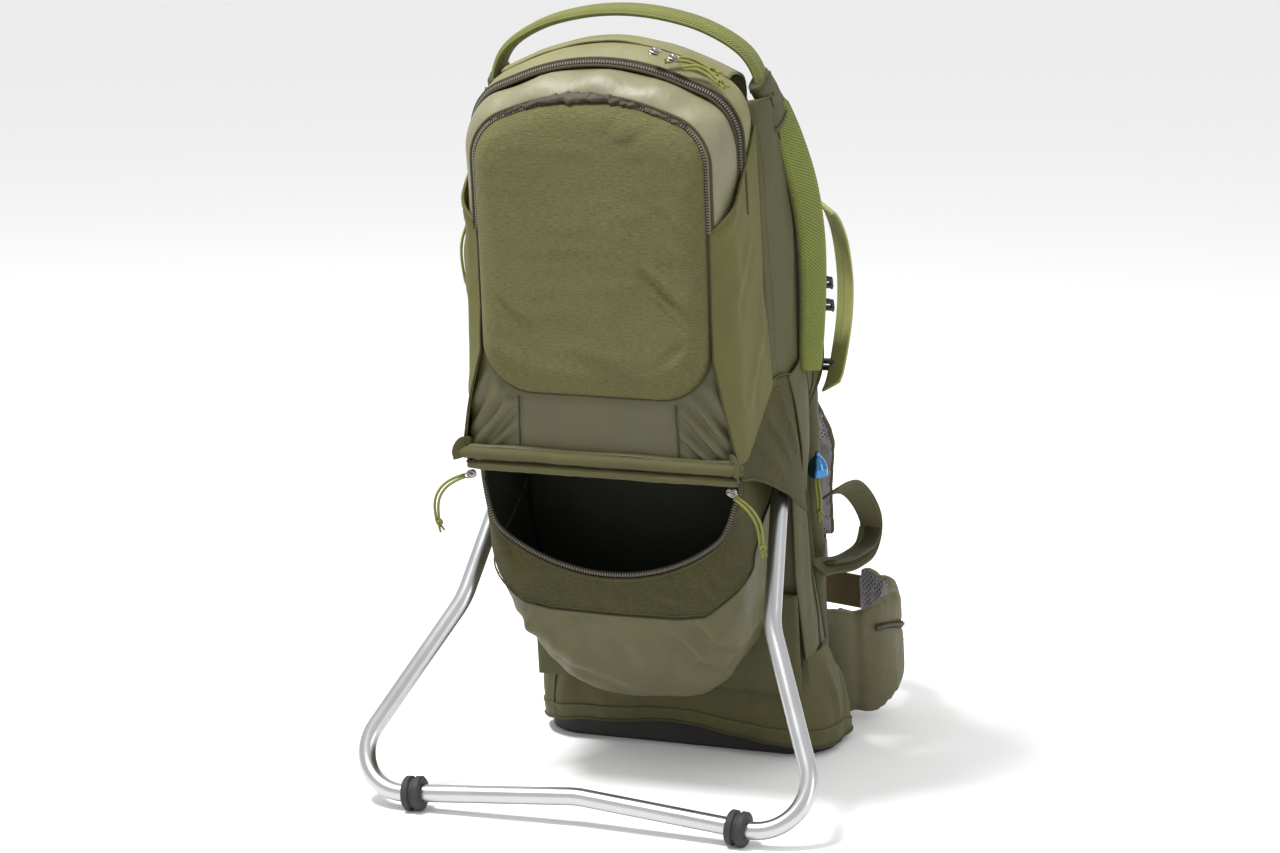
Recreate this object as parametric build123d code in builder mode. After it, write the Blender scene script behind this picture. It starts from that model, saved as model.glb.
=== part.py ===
from build123d import *
import os
from math import atan2, cos, degrees, radians, sin

# Child carrier backpack: an aluminium tube frame with a fold-out kickstand, storage bags on
# the kickstand side (-Y), a child's cockpit in the middle, and a harness on the other side (+Y).
# Millimetres.  The origin is on the floor under the base boot, +Z is up.  The pack leans
# forward over its kickstand, so most parts are drawn in a leaning body frame:
#   X across, BACK towards the wearer, UP along the frame.  "left" is -X and "right" is +X.

# ---------------------------------------------------------------- driving dimensions
LEAN = 10.0                  # lean of the body frame from vertical, degrees
GAP = 0.5                    # clearance between soft pieces that are sewn together
RUNNING = 0.03               # radial clearance of a shaft in its hole

# frame
FRAME_TUBE_D = 18.0          # main frame tube
FRAME_TUBE_WALL = 1.5
RAIL_TUBE_D = 16.0           # storage hoop, side rails and kickstand
RAIL_TUBE_WALL = 1.4
FRAME_HALF_WIDTH = 115.0     # main frame tube from the middle plane
FRAME_BACK = 12.0            # main frame tube's place along BACK
FRAME_TOP = 505.0
HOOP_HALF_WIDTH = 108.0      # storage hoop and side rails
HOOP_BACK = -106.0
HOOP_TOP = 690.0
HUB_INNER = 96.5             # pivot hub, from the middle plane
HUB_OUTER = 119.5
SOCKET_LOW = 340.0           # where the hoop ends inside the hub

# kickstand
STAND_TILT = 34.26           # degrees from vertical when deployed
STAND_TOP = (0, -178.0, 273.73)
PIVOT_X = 126.2
PIVOT_UP = 40.0              # pivot above STAND_TOP in the kickstand's own plane
KNEE = (147.3, -125.5)
CORNER = (232.8, -318.7)
BAR_MIDDLE = (0, -299.2)
FOOT_X = 151.6
FOOT_D = 31.0
FOOT_WIDTH = 17.0
PIN_D = 10.0
LUG_INNER = 121.0
LUG_OUTER = 133.0

# boot
BOOT_HALF_WIDTH = 143.0
BOOT_FRONT = -73.0
BOOT_REAR = 38.0
BOOT_HEIGHT = 26.0
SKIRT_CLOTH = 2.4

# bags
BAG_HALF_WIDTH = 122.0
BAG_REAR = -128.0
ZIP_PLANE = -166.0
BAG_FRONT = -205.0
POCKET_HALF_WIDTH = 104.0
BAND_LOW = 346.5             # band between the upper bag and the lower pocket
BAND_HIGH = 415.0
ROLL_RADIUS = 5.6
MOUTH_HALF_WIDTH = 127.0
MOUTH_DROP = 96.0            # depth of the lower pocket's curved lip
CLOTH = 3.0
SIDE_INNER = 129.5           # side panels of the cockpit
SIDE_OUTER = 132.0

# handles and webbing
GRIP_THICK = 12.0
GRIP_WIDTH = 34.0
WEBBING = 3.0
LIFT_WIDTH = 24.0
CORD_D = 2.6
KNOT_RADIUS = 3.6

UP = Vector(0, -sin(radians(LEAN)), cos(radians(LEAN)))
BACK = Vector(0, cos(radians(LEAN)), sin(radians(LEAN)))
SIDES = (("left", -1), ("right", 1))


# ---------------------------------------------------------------- places and helpers
def spot(x, back, up):
    """A point given in the leaning body frame."""
    return Vector(x, 0, 0) + BACK * back + UP * up


def level(up, x=0.0, back=0.0):
    """Plane across the body: local X is across, local Y is BACK, normal is UP."""
    return Plane(origin=spot(x, back, up), x_dir=(1, 0, 0), z_dir=UP)


def facing(back, x=0.0, up=0.0):
    """Plane seen from the storage side: local X is across, local Y is UP, normal is forward."""
    return Plane(origin=spot(x, back, up), x_dir=(1, 0, 0), z_dir=-BACK)


def across(x, back=0.0, up=0.0):
    """Side-view plane: local X is BACK, local Y is UP, normal is +X."""
    return Plane(origin=spot(x, back, up), x_dir=BACK, z_dir=(1, 0, 0))


def save(builder, node):
    """Label a finished piece and write it to its own file."""
    builder.part.label = node
    export_step(builder.part, f"parts/{node}.step")


def tube(points, radii, outer, wall):
    """Bent round tube along straight runs joined by arcs."""
    with BuildPart() as bent:
        with BuildLine() as path:
            FilletPolyline(*points, radius=radii)
        with BuildSketch(Plane(origin=path.line @ 0, z_dir=path.line % 0)):
            Circle(outer / 2)
            Circle(outer / 2 - wall, mode=Mode.SUBTRACT)
        sweep()
    return bent.part


def band(points, radius, across_size, depth):
    """Flat band along a path in a side-view plane: across_size along X, depth in the plane."""
    with BuildPart() as ribbon:
        with BuildLine() as path:
            FilletPolyline(*points, radius=radius)
        with BuildSketch(Plane(origin=path.line @ 0, x_dir=(1, 0, 0), z_dir=path.line % 0)):
            Rectangle(across_size, depth)
        sweep()
    return ribbon.part


def arc_radii(points):
    """Largest tangent arc that each corner of a cord's route leaves room for."""
    radii = []
    for before, corner, after in zip(points, points[1:], points[2:]):
        run_in = corner - before
        run_out = after - corner
        half_turn = radians(run_in.get_angle(run_out)) / 2
        shorter = min(run_in.length, run_out.length)
        radii.append(0.45 * shorter * cos(half_turn) / sin(half_turn))
    return radii


def cord(name, route):
    """Free zip-pull cord: a round cord along its route, with a round knot at its far end."""
    points = [spot(*place) for place in route]
    radii = arc_radii(points)
    with BuildPart() as line:
        with BuildLine() as path:
            FilletPolyline(*points, radius=radii)
        with BuildSketch(Plane(origin=path.line @ 0, z_dir=path.line % 0)):
            Circle(CORD_D / 2)
        sweep()
        with Locations(path.line @ 1):
            Sphere(KNOT_RADIUS)
    print(name, "cord radii", [round(r, 1) for r in radii], "length", round(path.wires()[0].length, 1))
    return line.part


def bag_outline(half_width, low, shoulder, crown, corner):
    """Front outline of a bag: square bottom, rounded shoulders and a low crown."""
    with BuildSketch() as outline:
        with BuildLine():
            Polyline((-half_width, low), (-half_width, shoulder), (0, crown), (half_width, shoulder),
                     (half_width, low), close=True)
        make_face()
        fillet(outline.vertices().sort_by(Axis.Y)[2:4], corner)
        fillet(outline.vertices().sort_by(Axis.Y)[-1], 2 * corner)
    return outline.sketch


os.makedirs("parts", exist_ok=True)

# ---------------------------------------------------------------- aluminium frame
# Main frame: one tube, up one side of the wearer's back, over and down the other.
FRAME_LOW = 14.0
frame_corners = [
    spot(-FRAME_HALF_WIDTH, FRAME_BACK, FRAME_LOW),
    spot(-FRAME_HALF_WIDTH, FRAME_BACK, FRAME_TOP),
    spot(FRAME_HALF_WIDTH, FRAME_BACK, FRAME_TOP),
    spot(FRAME_HALF_WIDTH, FRAME_BACK, FRAME_LOW),
]
with BuildPart() as main_frame_tube:
    add(tube(frame_corners, 60.0, FRAME_TUBE_D, FRAME_TUBE_WALL))
save(main_frame_tube, "main_frame_tube")

# Storage hoop and the two side rails that tie the pivot hubs to the main frame.
hoop_outline = [(-HOOP_HALF_WIDTH, SOCKET_LOW), (-HOOP_HALF_WIDTH, 652), (-56, HOOP_TOP),
                (56, HOOP_TOP), (HOOP_HALF_WIDTH, 652), (HOOP_HALF_WIDTH, SOCKET_LOW)]
RAIL_UP = 352.0              # side rail's height at the hub
RAIL_RISE = 60.0
RAIL_START = -80.0
with BuildPart() as cockpit_frame_tubes:
    add(tube([spot(x, HOOP_BACK, up) for x, up in hoop_outline], 40.0, RAIL_TUBE_D, RAIL_TUBE_WALL))
    for name, s in SIDES:
        x = s * HOOP_HALF_WIDTH
        rail = [spot(x, RAIL_START, RAIL_UP), spot(x, -46, RAIL_UP), spot(x, FRAME_BACK, RAIL_UP + RAIL_RISE)]
        add(tube(rail, 30.0, RAIL_TUBE_D, RAIL_TUBE_WALL))
    # each rail is coped to fit round the main frame tube
    with BuildSketch(level(300)):
        for name, s in SIDES:
            with Locations((s * FRAME_HALF_WIDTH, FRAME_BACK)):
                Circle(FRAME_TUBE_D / 2 + 0.05)
                with Locations((-s * 14, 10)):
                    Rectangle(40, 20)
    extrude(amount=160, mode=Mode.SUBTRACT)
save(cockpit_frame_tubes, "cockpit_frame_tubes")

# ---------------------------------------------------------------- kickstand geometry
tilt = radians(STAND_TILT)
stand_plane = Plane(origin=STAND_TOP, x_dir=(1, 0, 0), z_dir=(0, -cos(tilt), sin(tilt)))
pivot = stand_plane.from_local_coords(Vector(0, PIVOT_UP, 0))
PIVOT_BACK = pivot.dot(BACK)
PIVOT_HEIGHT = pivot.dot(UP)
leg_lean = atan2(KNEE[0] - PIVOT_X, PIVOT_UP - KNEE[1])
LEG_START = 15.5             # tube's end from the pivot
leg_top = (PIVOT_X + LEG_START * sin(leg_lean), PIVOT_UP - LEG_START * cos(leg_lean))

BUTTON_BACK = -77.0
BUTTON_UP = 322.0
BUTTON_D = 10.0
BUTTON_HOLE = 104.5          # bottom of the lock button's blind hole
RIVET_D = 5.0
RIVET_DEPTH = 10.0
HUB_RIVETS = ((-89.0, 357.0), (-70.0, 334.0))

# Pivot hubs: moulded blocks that join hoop, rail and kickstand.
with BuildPart() as pivot_hubs:
    for name, s in SIDES:
        with BuildSketch(across(s * HUB_INNER, 0, 0)):
            with Locations((-90.2, 337)):
                RectangleRounded(56.6, 62, 8)
        extrude(amount=s * (HUB_OUTER - HUB_INNER))
    for name, s in SIDES:
        with BuildSketch(level(SOCKET_LOW, s * HOOP_HALF_WIDTH, HOOP_BACK)):
            Circle(RAIL_TUBE_D / 2 + 0.05)
        extrude(amount=60, mode=Mode.SUBTRACT)
        with BuildSketch(facing(RAIL_START, s * HOOP_HALF_WIDTH, RAIL_UP)):
            Circle(RAIL_TUBE_D / 2 + 0.05)
        extrude(amount=-40, mode=Mode.SUBTRACT)
        with BuildSketch(across(s * 80, PIVOT_BACK, PIVOT_HEIGHT)):
            Circle(PIN_D / 2 + RUNNING)
        extrude(amount=s * 60, mode=Mode.SUBTRACT)
        with BuildSketch(across(s * BUTTON_HOLE, BUTTON_BACK, BUTTON_UP)):
            Circle(BUTTON_D / 2 + 0.05)
        extrude(amount=s * 30, mode=Mode.SUBTRACT)
        with BuildSketch(across(s * (HUB_OUTER - RIVET_DEPTH), 0, 0)):
            with Locations(*HUB_RIVETS):
                Circle(RIVET_D / 2 + 0.05)
        extrude(amount=s * 30, mode=Mode.SUBTRACT)
save(pivot_hubs, "pivot_hubs")

# Pivot pins: shaft, outer head, and a retaining ring on the inner end.
PIN_INNER = 83.0
PIN_HEAD = 133.6
with BuildPart() as pivot_pins:
    for name, s in SIDES:
        with BuildSketch(across(s * PIN_INNER, PIVOT_BACK, PIVOT_HEIGHT)):
            Circle(PIN_D / 2)
        extrude(amount=s * (PIN_HEAD + 3 - PIN_INNER))
        with BuildSketch(across(s * PIN_HEAD, PIVOT_BACK, PIVOT_HEIGHT)):
            Circle(8.5)
        extrude(amount=s * 3)
        with BuildSketch(across(s * PIN_INNER, PIVOT_BACK, PIVOT_HEIGHT)):
            Circle(7)
        extrude(amount=s * 1.6)
save(pivot_pins, "pivot_pins")

# Deploy springs: a torsion coil round each pin, inboard of the hub.
SPRING_RADIUS = 7.4
SPRING_WIRE = 1.5
SPRING_PITCH = 2.2
SPRING_TURNS = 4
with BuildPart() as deploy_springs:
    for name, s in SIDES:
        with BuildLine() as coil:
            Helix(pitch=SPRING_PITCH, height=SPRING_PITCH * SPRING_TURNS, radius=SPRING_RADIUS,
                  center=spot(s * 85.6, PIVOT_BACK, PIVOT_HEIGHT), direction=(s, 0, 0))
        with BuildSketch(Plane(origin=coil.line @ 0, z_dir=coil.line % 0)):
            Circle(SPRING_WIRE / 2)
        sweep(is_frenet=True)
save(deploy_springs, "deploy_springs")

# Lock buttons: press in to release the kickstand.
BUTTON_TIP = 124.0
for name, s in SIDES:
    with BuildPart() as lock_button:
        with BuildSketch(across(s * (BUTTON_HOLE + 3.5), BUTTON_BACK, BUTTON_UP)):
            Circle(BUTTON_D / 2)
        extrude(amount=s * (BUTTON_TIP - BUTTON_HOLE - 3.5))
        fillet(lock_button.edges().filter_by(GeomType.CIRCLE).group_by(Axis.X)[-1 if s > 0 else 0], 1.5)
    save(lock_button, f"lock_button_{name}")

# ---------------------------------------------------------------- kickstand
stand_points = [leg_top, KNEE, CORNER, BAR_MIDDLE, (-CORNER[0], CORNER[1]), (-KNEE[0], KNEE[1]),
                (-leg_top[0], leg_top[1])]
with BuildPart() as kickstand_tube:
    add(tube([stand_plane.from_local_coords(Vector(x, y, 0)) for x, y in stand_points],
             [77.0, 43.0, 80.0, 43.0, 77.0], RAIL_TUBE_D, RAIL_TUBE_WALL))
save(kickstand_tube, "kickstand_tube")

# Lugs: an eye on each pivot pin with a spigot plugged into the tube.
with BuildPart() as kickstand_lugs:
    for name, s in SIDES:
        with BuildSketch(across(s * LUG_INNER, PIVOT_BACK, PIVOT_HEIGHT)):
            Circle(14)
        extrude(amount=s * (LUG_OUTER - LUG_INNER))
        leg_direction = Vector(s * sin(leg_lean), -cos(leg_lean), 0)
        leg_axis = stand_plane.from_local_coords(leg_direction) - stand_plane.origin
        pivot_end = stand_plane.from_local_coords(Vector(s * PIVOT_X, PIVOT_UP, 0))
        with BuildSketch(Plane(origin=pivot_end + leg_axis * 11, z_dir=leg_axis)):
            Circle(RAIL_TUBE_D / 2 - RAIL_TUBE_WALL - 0.1)
        extrude(amount=30)
    with BuildSketch(across(-150, PIVOT_BACK, PIVOT_HEIGHT)):
        Circle(PIN_D / 2 + RUNNING)
    extrude(amount=300, mode=Mode.SUBTRACT)
save(kickstand_lugs, "kickstand_lugs")

# Rubber foot rings, each with two ribs and a groove between them.
bar_slope = (CORNER[1] - BAR_MIDDLE[1]) / CORNER[0]
FOOT_GROOVE = 2.0
with BuildPart() as kickstand_feet:
    for name, s in SIDES:
        foot_spot = stand_plane.from_local_coords(Vector(s * FOOT_X, BAR_MIDDLE[1] + bar_slope * FOOT_X, 0))
        bar_axis = stand_plane.from_local_coords(Vector(1, s * bar_slope, 0)) - stand_plane.origin
        foot_plane = Plane(origin=foot_spot, x_dir=bar_axis, z_dir=stand_plane.z_dir)
        with BuildSketch(foot_plane):
            with BuildLine():
                outer = FOOT_D / 2
                inner = RAIL_TUBE_D / 2 + 0.05
                half = FOOT_WIDTH / 2
                Polyline((-half, inner), (-half, outer - 1.5), (1.5 - half, outer), (-2.4, outer),
                         (-1.2, outer - FOOT_GROOVE), (1.2, outer - FOOT_GROOVE), (2.4, outer),
                         (half - 1.5, outer), (half, outer - 1.5), (half, inner), close=True)
            make_face()
        revolve(axis=Axis(foot_spot, bar_axis), revolution_arc=360)
save(kickstand_feet, "kickstand_feet")

# ---------------------------------------------------------------- base boot and skirt
SOCKET_WALL = 4.0
with BuildPart() as base_boot:
    boot_middle = (BOOT_FRONT + BOOT_REAR) / 2
    boot_depth = BOOT_REAR - BOOT_FRONT
    with BuildSketch(Plane.XY):
        with Locations((0, boot_middle)):
            RectangleRounded(2 * BOOT_HALF_WIDTH, boot_depth, 44)
    extrude(amount=BOOT_HEIGHT)
    fillet(base_boot.edges().group_by(Axis.Z)[0], 4)
    with BuildSketch(Plane.XY.offset(6)):
        with Locations((0, boot_middle)):
            RectangleRounded(2 * BOOT_HALF_WIDTH - 10, boot_depth - 10, 39)
    extrude(amount=BOOT_HEIGHT, mode=Mode.SUBTRACT)
    with BuildSketch(level(4)):
        with Locations((-FRAME_HALF_WIDTH, FRAME_BACK), (FRAME_HALF_WIDTH, FRAME_BACK)):
            Circle(FRAME_TUBE_D / 2 + SOCKET_WALL)
    extrude(amount=38)
    with BuildSketch(level(FRAME_LOW)):
        with Locations((-FRAME_HALF_WIDTH, FRAME_BACK), (FRAME_HALF_WIDTH, FRAME_BACK)):
            Circle(FRAME_TUBE_D / 2 + 0.05)
    extrude(amount=60, mode=Mode.SUBTRACT)
save(base_boot, "base_boot")

# Skirt: the fabric sleeve that closes the pack down over the boot.
SKIRT_HALF_WIDTH = BOOT_HALF_WIDTH + 0.6 + SKIRT_CLOTH
SKIRT_FRONT = BOOT_FRONT - 10
SKIRT_REAR = BOOT_REAR + 7.2
SKIRT_TOP = 112.0
SKIRT_REAR_TOP = 44.0
with BuildPart() as skirt:
    skirt_middle = (SKIRT_FRONT + SKIRT_REAR) / 2
    skirt_depth = SKIRT_REAR - SKIRT_FRONT
    with BuildSketch(level(-20)):
        with Locations((0, skirt_middle)):
            RectangleRounded(2 * SKIRT_HALF_WIDTH, skirt_depth, 46)
            RectangleRounded(2 * (SKIRT_HALF_WIDTH - SKIRT_CLOTH), skirt_depth - 2 * SKIRT_CLOTH,
                             46 - SKIRT_CLOTH, mode=Mode.SUBTRACT)
    extrude(amount=SKIRT_TOP + 20)
    with BuildSketch(across(-200)):
        with Locations((60, SKIRT_REAR_TOP + 100)):
            Rectangle(80, 200)
    extrude(amount=400, mode=Mode.SUBTRACT)
    split(bisect_by=Plane.XY.offset(3), keep=Keep.TOP)
save(skirt, "skirt")

# ---------------------------------------------------------------- harness side
SHEET_BACK = 23.5
SHEET_RIVETS = [(s * FRAME_HALF_WIDTH, up) for name, s in SIDES for up in (90, 250, 400)]
with BuildPart() as framesheet:
    with BuildSketch(facing(SHEET_BACK)):
        with Locations((0, 265)):
            RectangleRounded(2 * FRAME_HALF_WIDTH + 16, 430, 30)
        with Locations(*SHEET_RIVETS):
            Circle(RIVET_D / 2 + 0.05, mode=Mode.SUBTRACT)
    extrude(amount=2)
save(framesheet, "framesheet")

with BuildPart() as back_panel_pad:
    with BuildSketch(facing(40)):
        with Locations((0, 320)):
            RectangleRounded(204, 336, 40)
    extrude(amount=16)
    fillet(back_panel_pad.edges().group_by(Axis(spot(0, 0, 0), BACK))[-1], 6)
save(back_panel_pad, "back_panel_pad")

with BuildPart() as lumbar_pad:
    with BuildSketch(across(-91)):
        with BuildLine():
            Polyline((24, 50), (24, 145), (46, 145), (58, 118), (58, 24), (46.5, 18), (46.5, 50), close=True)
        make_face()
    extrude(amount=182)
save(lumbar_pad, "lumbar_pad")

# The yoke slides up and down this rail to fit the wearer's back.
RAIL_HALF = 12.0
with BuildPart() as yoke_rail:
    with BuildSketch(facing(44.5)):
        with Locations((0, 375)):
            RectangleRounded(2 * RAIL_HALF, 210, 4)
    extrude(amount=4.4)
save(yoke_rail, "yoke_rail")

with BuildPart() as yoke_slider:
    with BuildSketch(facing(51)):
        with Locations((0, 375)):
            RectangleRounded(52, 44, 6)
    extrude(amount=10.8)
    with BuildSketch(facing(44.56)):
        with Locations((0, 375)):
            Rectangle(2 * RAIL_HALF + 0.12, 60)
    extrude(amount=10, mode=Mode.SUBTRACT)
save(yoke_slider, "yoke_slider")

with BuildPart() as yoke_pad:
    with BuildSketch(facing(64)):
        with Locations((0, 392)):
            RectangleRounded(150, 92, 24)
    extrude(amount=12.5)
    fillet(yoke_pad.edges().group_by(Axis(spot(0, 0, 0), BACK))[-1], 4)
save(yoke_pad, "yoke_pad")

# Shoulder straps: padded bands that bow out from the yoke down towards the hip belt.
STRAP_X = 62.0
STRAP_WIDTH = 56.0
STRAP_THICK = 12.0
strap_route = [(72, 434), (98, 418), (104, 330), (162, 232), (166, 140)]
STERNUM_UP = 318.0
for name, s in SIDES:
    with BuildPart() as shoulder_strap:
        add(band([spot(s * STRAP_X, back, up) for back, up in strap_route], 12.0, STRAP_WIDTH, STRAP_THICK))
    save(shoulder_strap, f"shoulder_strap_{name}")

# Sternum strap: one half on each shoulder strap, a socket on the left and a plug on the right.
STERNUM_BACK = 128.0
for name, s in SIDES:
    with BuildPart() as sternum_strap:
        with BuildSketch(level(STERNUM_UP - 10)):
            with Locations((s * 45, STERNUM_BACK)):
                Rectangle(50, WEBBING)
        extrude(amount=20)
        with BuildSketch(facing(STERNUM_BACK + 6)):
            with Locations((s * 18, STERNUM_UP)):
                RectangleRounded(26, 27, 4)
        extrude(amount=12)
    save(sternum_strap, f"sternum_strap_{name}")

# Lower shoulder webbing, from the ladder lock under each strap to the side of the lumbar pad.
LOCK_BACK = 165.0
LOCK_UP = 120.0
WEBBING_X = 62.0
with BuildPart() as strap_webbing:
    for name, s in SIDES:
        route = [(60.5, 110), (84, 104), (160, 112)]
        add(band([spot(s * WEBBING_X, back, up) for back, up in route], 12.0, 25.0, 2.5))
save(strap_webbing, "strap_webbing")

with BuildPart() as ladder_locks:
    for name, s in SIDES:
        with BuildSketch(facing(LOCK_BACK + 4, s * WEBBING_X, LOCK_UP)):
            RectangleRounded(36, 34, 5)
        extrude(amount=8)
        with BuildSketch(facing(LOCK_BACK + 8, s * WEBBING_X, LOCK_UP)):
            with Locations((0, 7.5), (0, -7.5)):
                Rectangle(27, 9)
        extrude(amount=16, mode=Mode.SUBTRACT)
save(ladder_locks, "ladder_locks")

# Hip belt wings: padded, wrapping round the wearer, with their webbing out to the buckle.
WING_LOW = 0.0
WING_HIGH = 114.0
WING_THICK = 14.0
wing_plan = [(97, 54), (148, 83), (162, 124), (142, 169), (108, 191)]
for name, s in SIDES:
    with BuildPart() as hip_wing:
        with BuildLine() as wing_path:
            wing_middle = (WING_LOW + WING_HIGH) / 2
            FilletPolyline(*[spot(s * x, back, wing_middle) for x, back in wing_plan], radius=28)
        with BuildSketch(Plane(origin=wing_path.line @ 0, x_dir=UP, z_dir=wing_path.line % 0)):
            Rectangle(WING_HIGH - WING_LOW, WING_THICK)
        sweep()
        # the wing tapers towards its tip
        with BuildSketch(across(-200)):
            with BuildLine():
                Polyline((20, WING_LOW), (90, WING_LOW), (200, 42), (200, 98), (120, WING_HIGH),
                         (20, WING_HIGH), close=True)
            make_face()
        extrude(amount=400, mode=Mode.INTERSECT)
        with BuildSketch(level(52)):
            with BuildLine():
                Polyline((s * 112, 188), (s * 24, 206), (s * 24, 209), (s * 112, 191), close=True)
            make_face()
        extrude(amount=38)
    save(hip_wing, f"hip_wing_{name}")

# Side-release buckle of the hip belt, left open: socket on the left, plug on the right.
BUCKLE_UP = 71.0
with BuildPart() as hip_buckle_socket:
    with BuildSketch(facing(214)):
        with Locations((-17, BUCKLE_UP)):
            RectangleRounded(34, 52, 7)
    extrude(amount=13)
    with BuildSketch(across(-10, 207.5, BUCKLE_UP)):
        Rectangle(9, 22)
    extrude(amount=20, mode=Mode.SUBTRACT)
    with BuildSketch(level(50)):
        with BuildLine():
            Polyline((-42, 200.6), (-22, 204.9), (-22, 209.8), (-42, 205.5), close=True)
        make_face()
    extrude(amount=42, mode=Mode.SUBTRACT)
save(hip_buckle_socket, "hip_buckle_socket")

with BuildPart() as hip_buckle_plug:
    with BuildSketch(facing(212)):
        with Locations((24, BUCKLE_UP)):
            RectangleRounded(17, 50, 5)
        with Locations((11.5, BUCKLE_UP)):
            Rectangle(15, 17)
    extrude(amount=6)
    with BuildSketch(level(50)):
        with BuildLine():
            Polyline((42, 200.6), (22, 204.9), (22, 209.8), (42, 205.5), close=True)
        make_face()
    extrude(amount=42, mode=Mode.SUBTRACT)
save(hip_buckle_plug, "hip_buckle_plug")

# ---------------------------------------------------------------- storage bags
def bag_slice(outline, side_profile):
    """A bag whose front outline and side profile are both given."""
    with BuildPart() as slice_part:
        with BuildSketch(facing(0)):
            add(outline)
        extrude(amount=400)
        with BuildSketch(across(-200)):
            with BuildLine():
                Polyline(*side_profile, close=True)
            make_face()
        extrude(amount=400, mode=Mode.INTERSECT)
    return slice_part.part


BAG_LOW = BAND_HIGH + GAP
bag_shape = bag_outline(BAG_HALF_WIDTH, BAG_LOW, 676, 722, 46)
with BuildPart() as storage_rear:
    add(bag_slice(bag_shape, [(BAG_REAR, BAG_LOW), (BAG_REAR, 700), (-92, 700), (-92, 716), (-112, 722),
                              (-132, 722), (-164, 706), (-164, BAG_LOW)]))
save(storage_rear, "storage_rear")

front_shape = bag_outline(BAG_HALF_WIDTH - 2, BAG_LOW, 660, 706, 44)
with BuildPart() as storage_front:
    front_profile = [(-168.6, BAG_LOW), (-168.6, 704), (-190, 686), (BAG_FRONT, 668), (BAG_FRONT, BAG_LOW)]
    add(bag_slice(front_shape, front_profile))
save(storage_front, "storage_front")

pocket_shape = bag_outline(POCKET_HALF_WIDTH, 424, 652, 682, 32)
with BuildPart() as front_pocket:
    with BuildSketch(facing(-208.6)):
        add(pocket_shape)
    extrude(amount=30)
    with BuildSketch(across(-200)):
        with BuildLine():
            Polyline((-200, 400), (-200, 700), (-214, 700), (-222, 640), (-237, 440), (-233, 400), close=True)
        make_face()
    extrude(amount=400, mode=Mode.INTERSECT)
    pocket_corners = front_pocket.edges().filter_by(lambda e: abs(e.tangent_at(0.5).dot(BACK)) > 0.9)
    fillet(pocket_corners.sort_by(Axis.Z)[:2], 34)
save(front_pocket, "front_pocket")

with BuildPart() as pocket_band:
    with BuildSketch(across(-MOUTH_HALF_WIDTH)):
        with BuildLine():
            Polyline((BAG_REAR, BAND_LOW), (BAG_REAR, BAND_HIGH), (-226, BAND_HIGH), (-229, 374),
                     (-229, BAND_LOW),
                     close=True)
        make_face()
    extrude(amount=2 * MOUTH_HALF_WIDTH)
save(pocket_band, "pocket_band")

# Storm flap over the lower zip, rolled up into a double roll.
ROLL_BACK = -235.4
with BuildPart() as bumper_roll:
    with BuildSketch(across(-136)):
        with Locations((ROLL_BACK, 352.2), (ROLL_BACK, 362)):
            Circle(ROLL_RADIUS)
    extrude(amount=270)
save(bumper_roll, "bumper_roll")

# Lower pocket: an open pouch whose curved lip hangs below the roll.
MOUTH_TOP = 345.0
LIP_RADIUS = (MOUTH_HALF_WIDTH ** 2 + MOUTH_DROP ** 2) / (2 * MOUTH_DROP)
LIP_CENTRE_UP = MOUTH_TOP - MOUTH_DROP + LIP_RADIUS
POUCH_REAR = -121.0
pouch_outer = [(POUCH_REAR, MOUTH_TOP), (POUCH_REAR, 96), (-150, 100), (-186, 140), (-210, 196), (-222, 250),
               (-224, MOUTH_TOP)]
pouch_inner = [(POUCH_REAR - CLOTH, MOUTH_TOP - CLOTH), (POUCH_REAR - CLOTH, 104), (-148, 104.5), (-183, 143),
               (-206.8, 198), (-219, 250.5), (-221, MOUTH_TOP - CLOTH)]
pouch_plan = [(116, POUCH_REAR), (118, -140), (MOUTH_HALF_WIDTH, -200), (120, -216), (104, -226),
              (-104, -226),
              (-120, -216), (-MOUTH_HALF_WIDTH, -200), (-118, -140), (-116, POUCH_REAR)]


def pouch_body(side_profile, plan_inset):
    """Side profile of the pouch, cut to its plan."""
    with BuildPart() as body:
        with BuildSketch(across(-200)):
            with BuildLine():
                Polyline(*side_profile, close=True)
            make_face()
        extrude(amount=400)
        with BuildSketch(level(50)):
            with BuildLine():
                Polyline(*pouch_plan, close=True)
            make_face()
            offset(amount=-plan_inset, kind=Kind.INTERSECTION)
        extrude(amount=340, mode=Mode.INTERSECT)
    return body.part


with BuildPart() as lower_pocket:
    add(pouch_body(pouch_outer, 0.01))
    add(pouch_body(pouch_inner, CLOTH), mode=Mode.SUBTRACT)
    with BuildSketch(facing(-212)):
        with Locations((0, LIP_CENTRE_UP)):
            Circle(LIP_RADIUS)
        with Locations((0, MOUTH_TOP - CLOTH + 200)):
            Rectangle(600, 400, mode=Mode.SUBTRACT)
    extrude(amount=30, mode=Mode.SUBTRACT)
save(lower_pocket, "lower_pocket")

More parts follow.
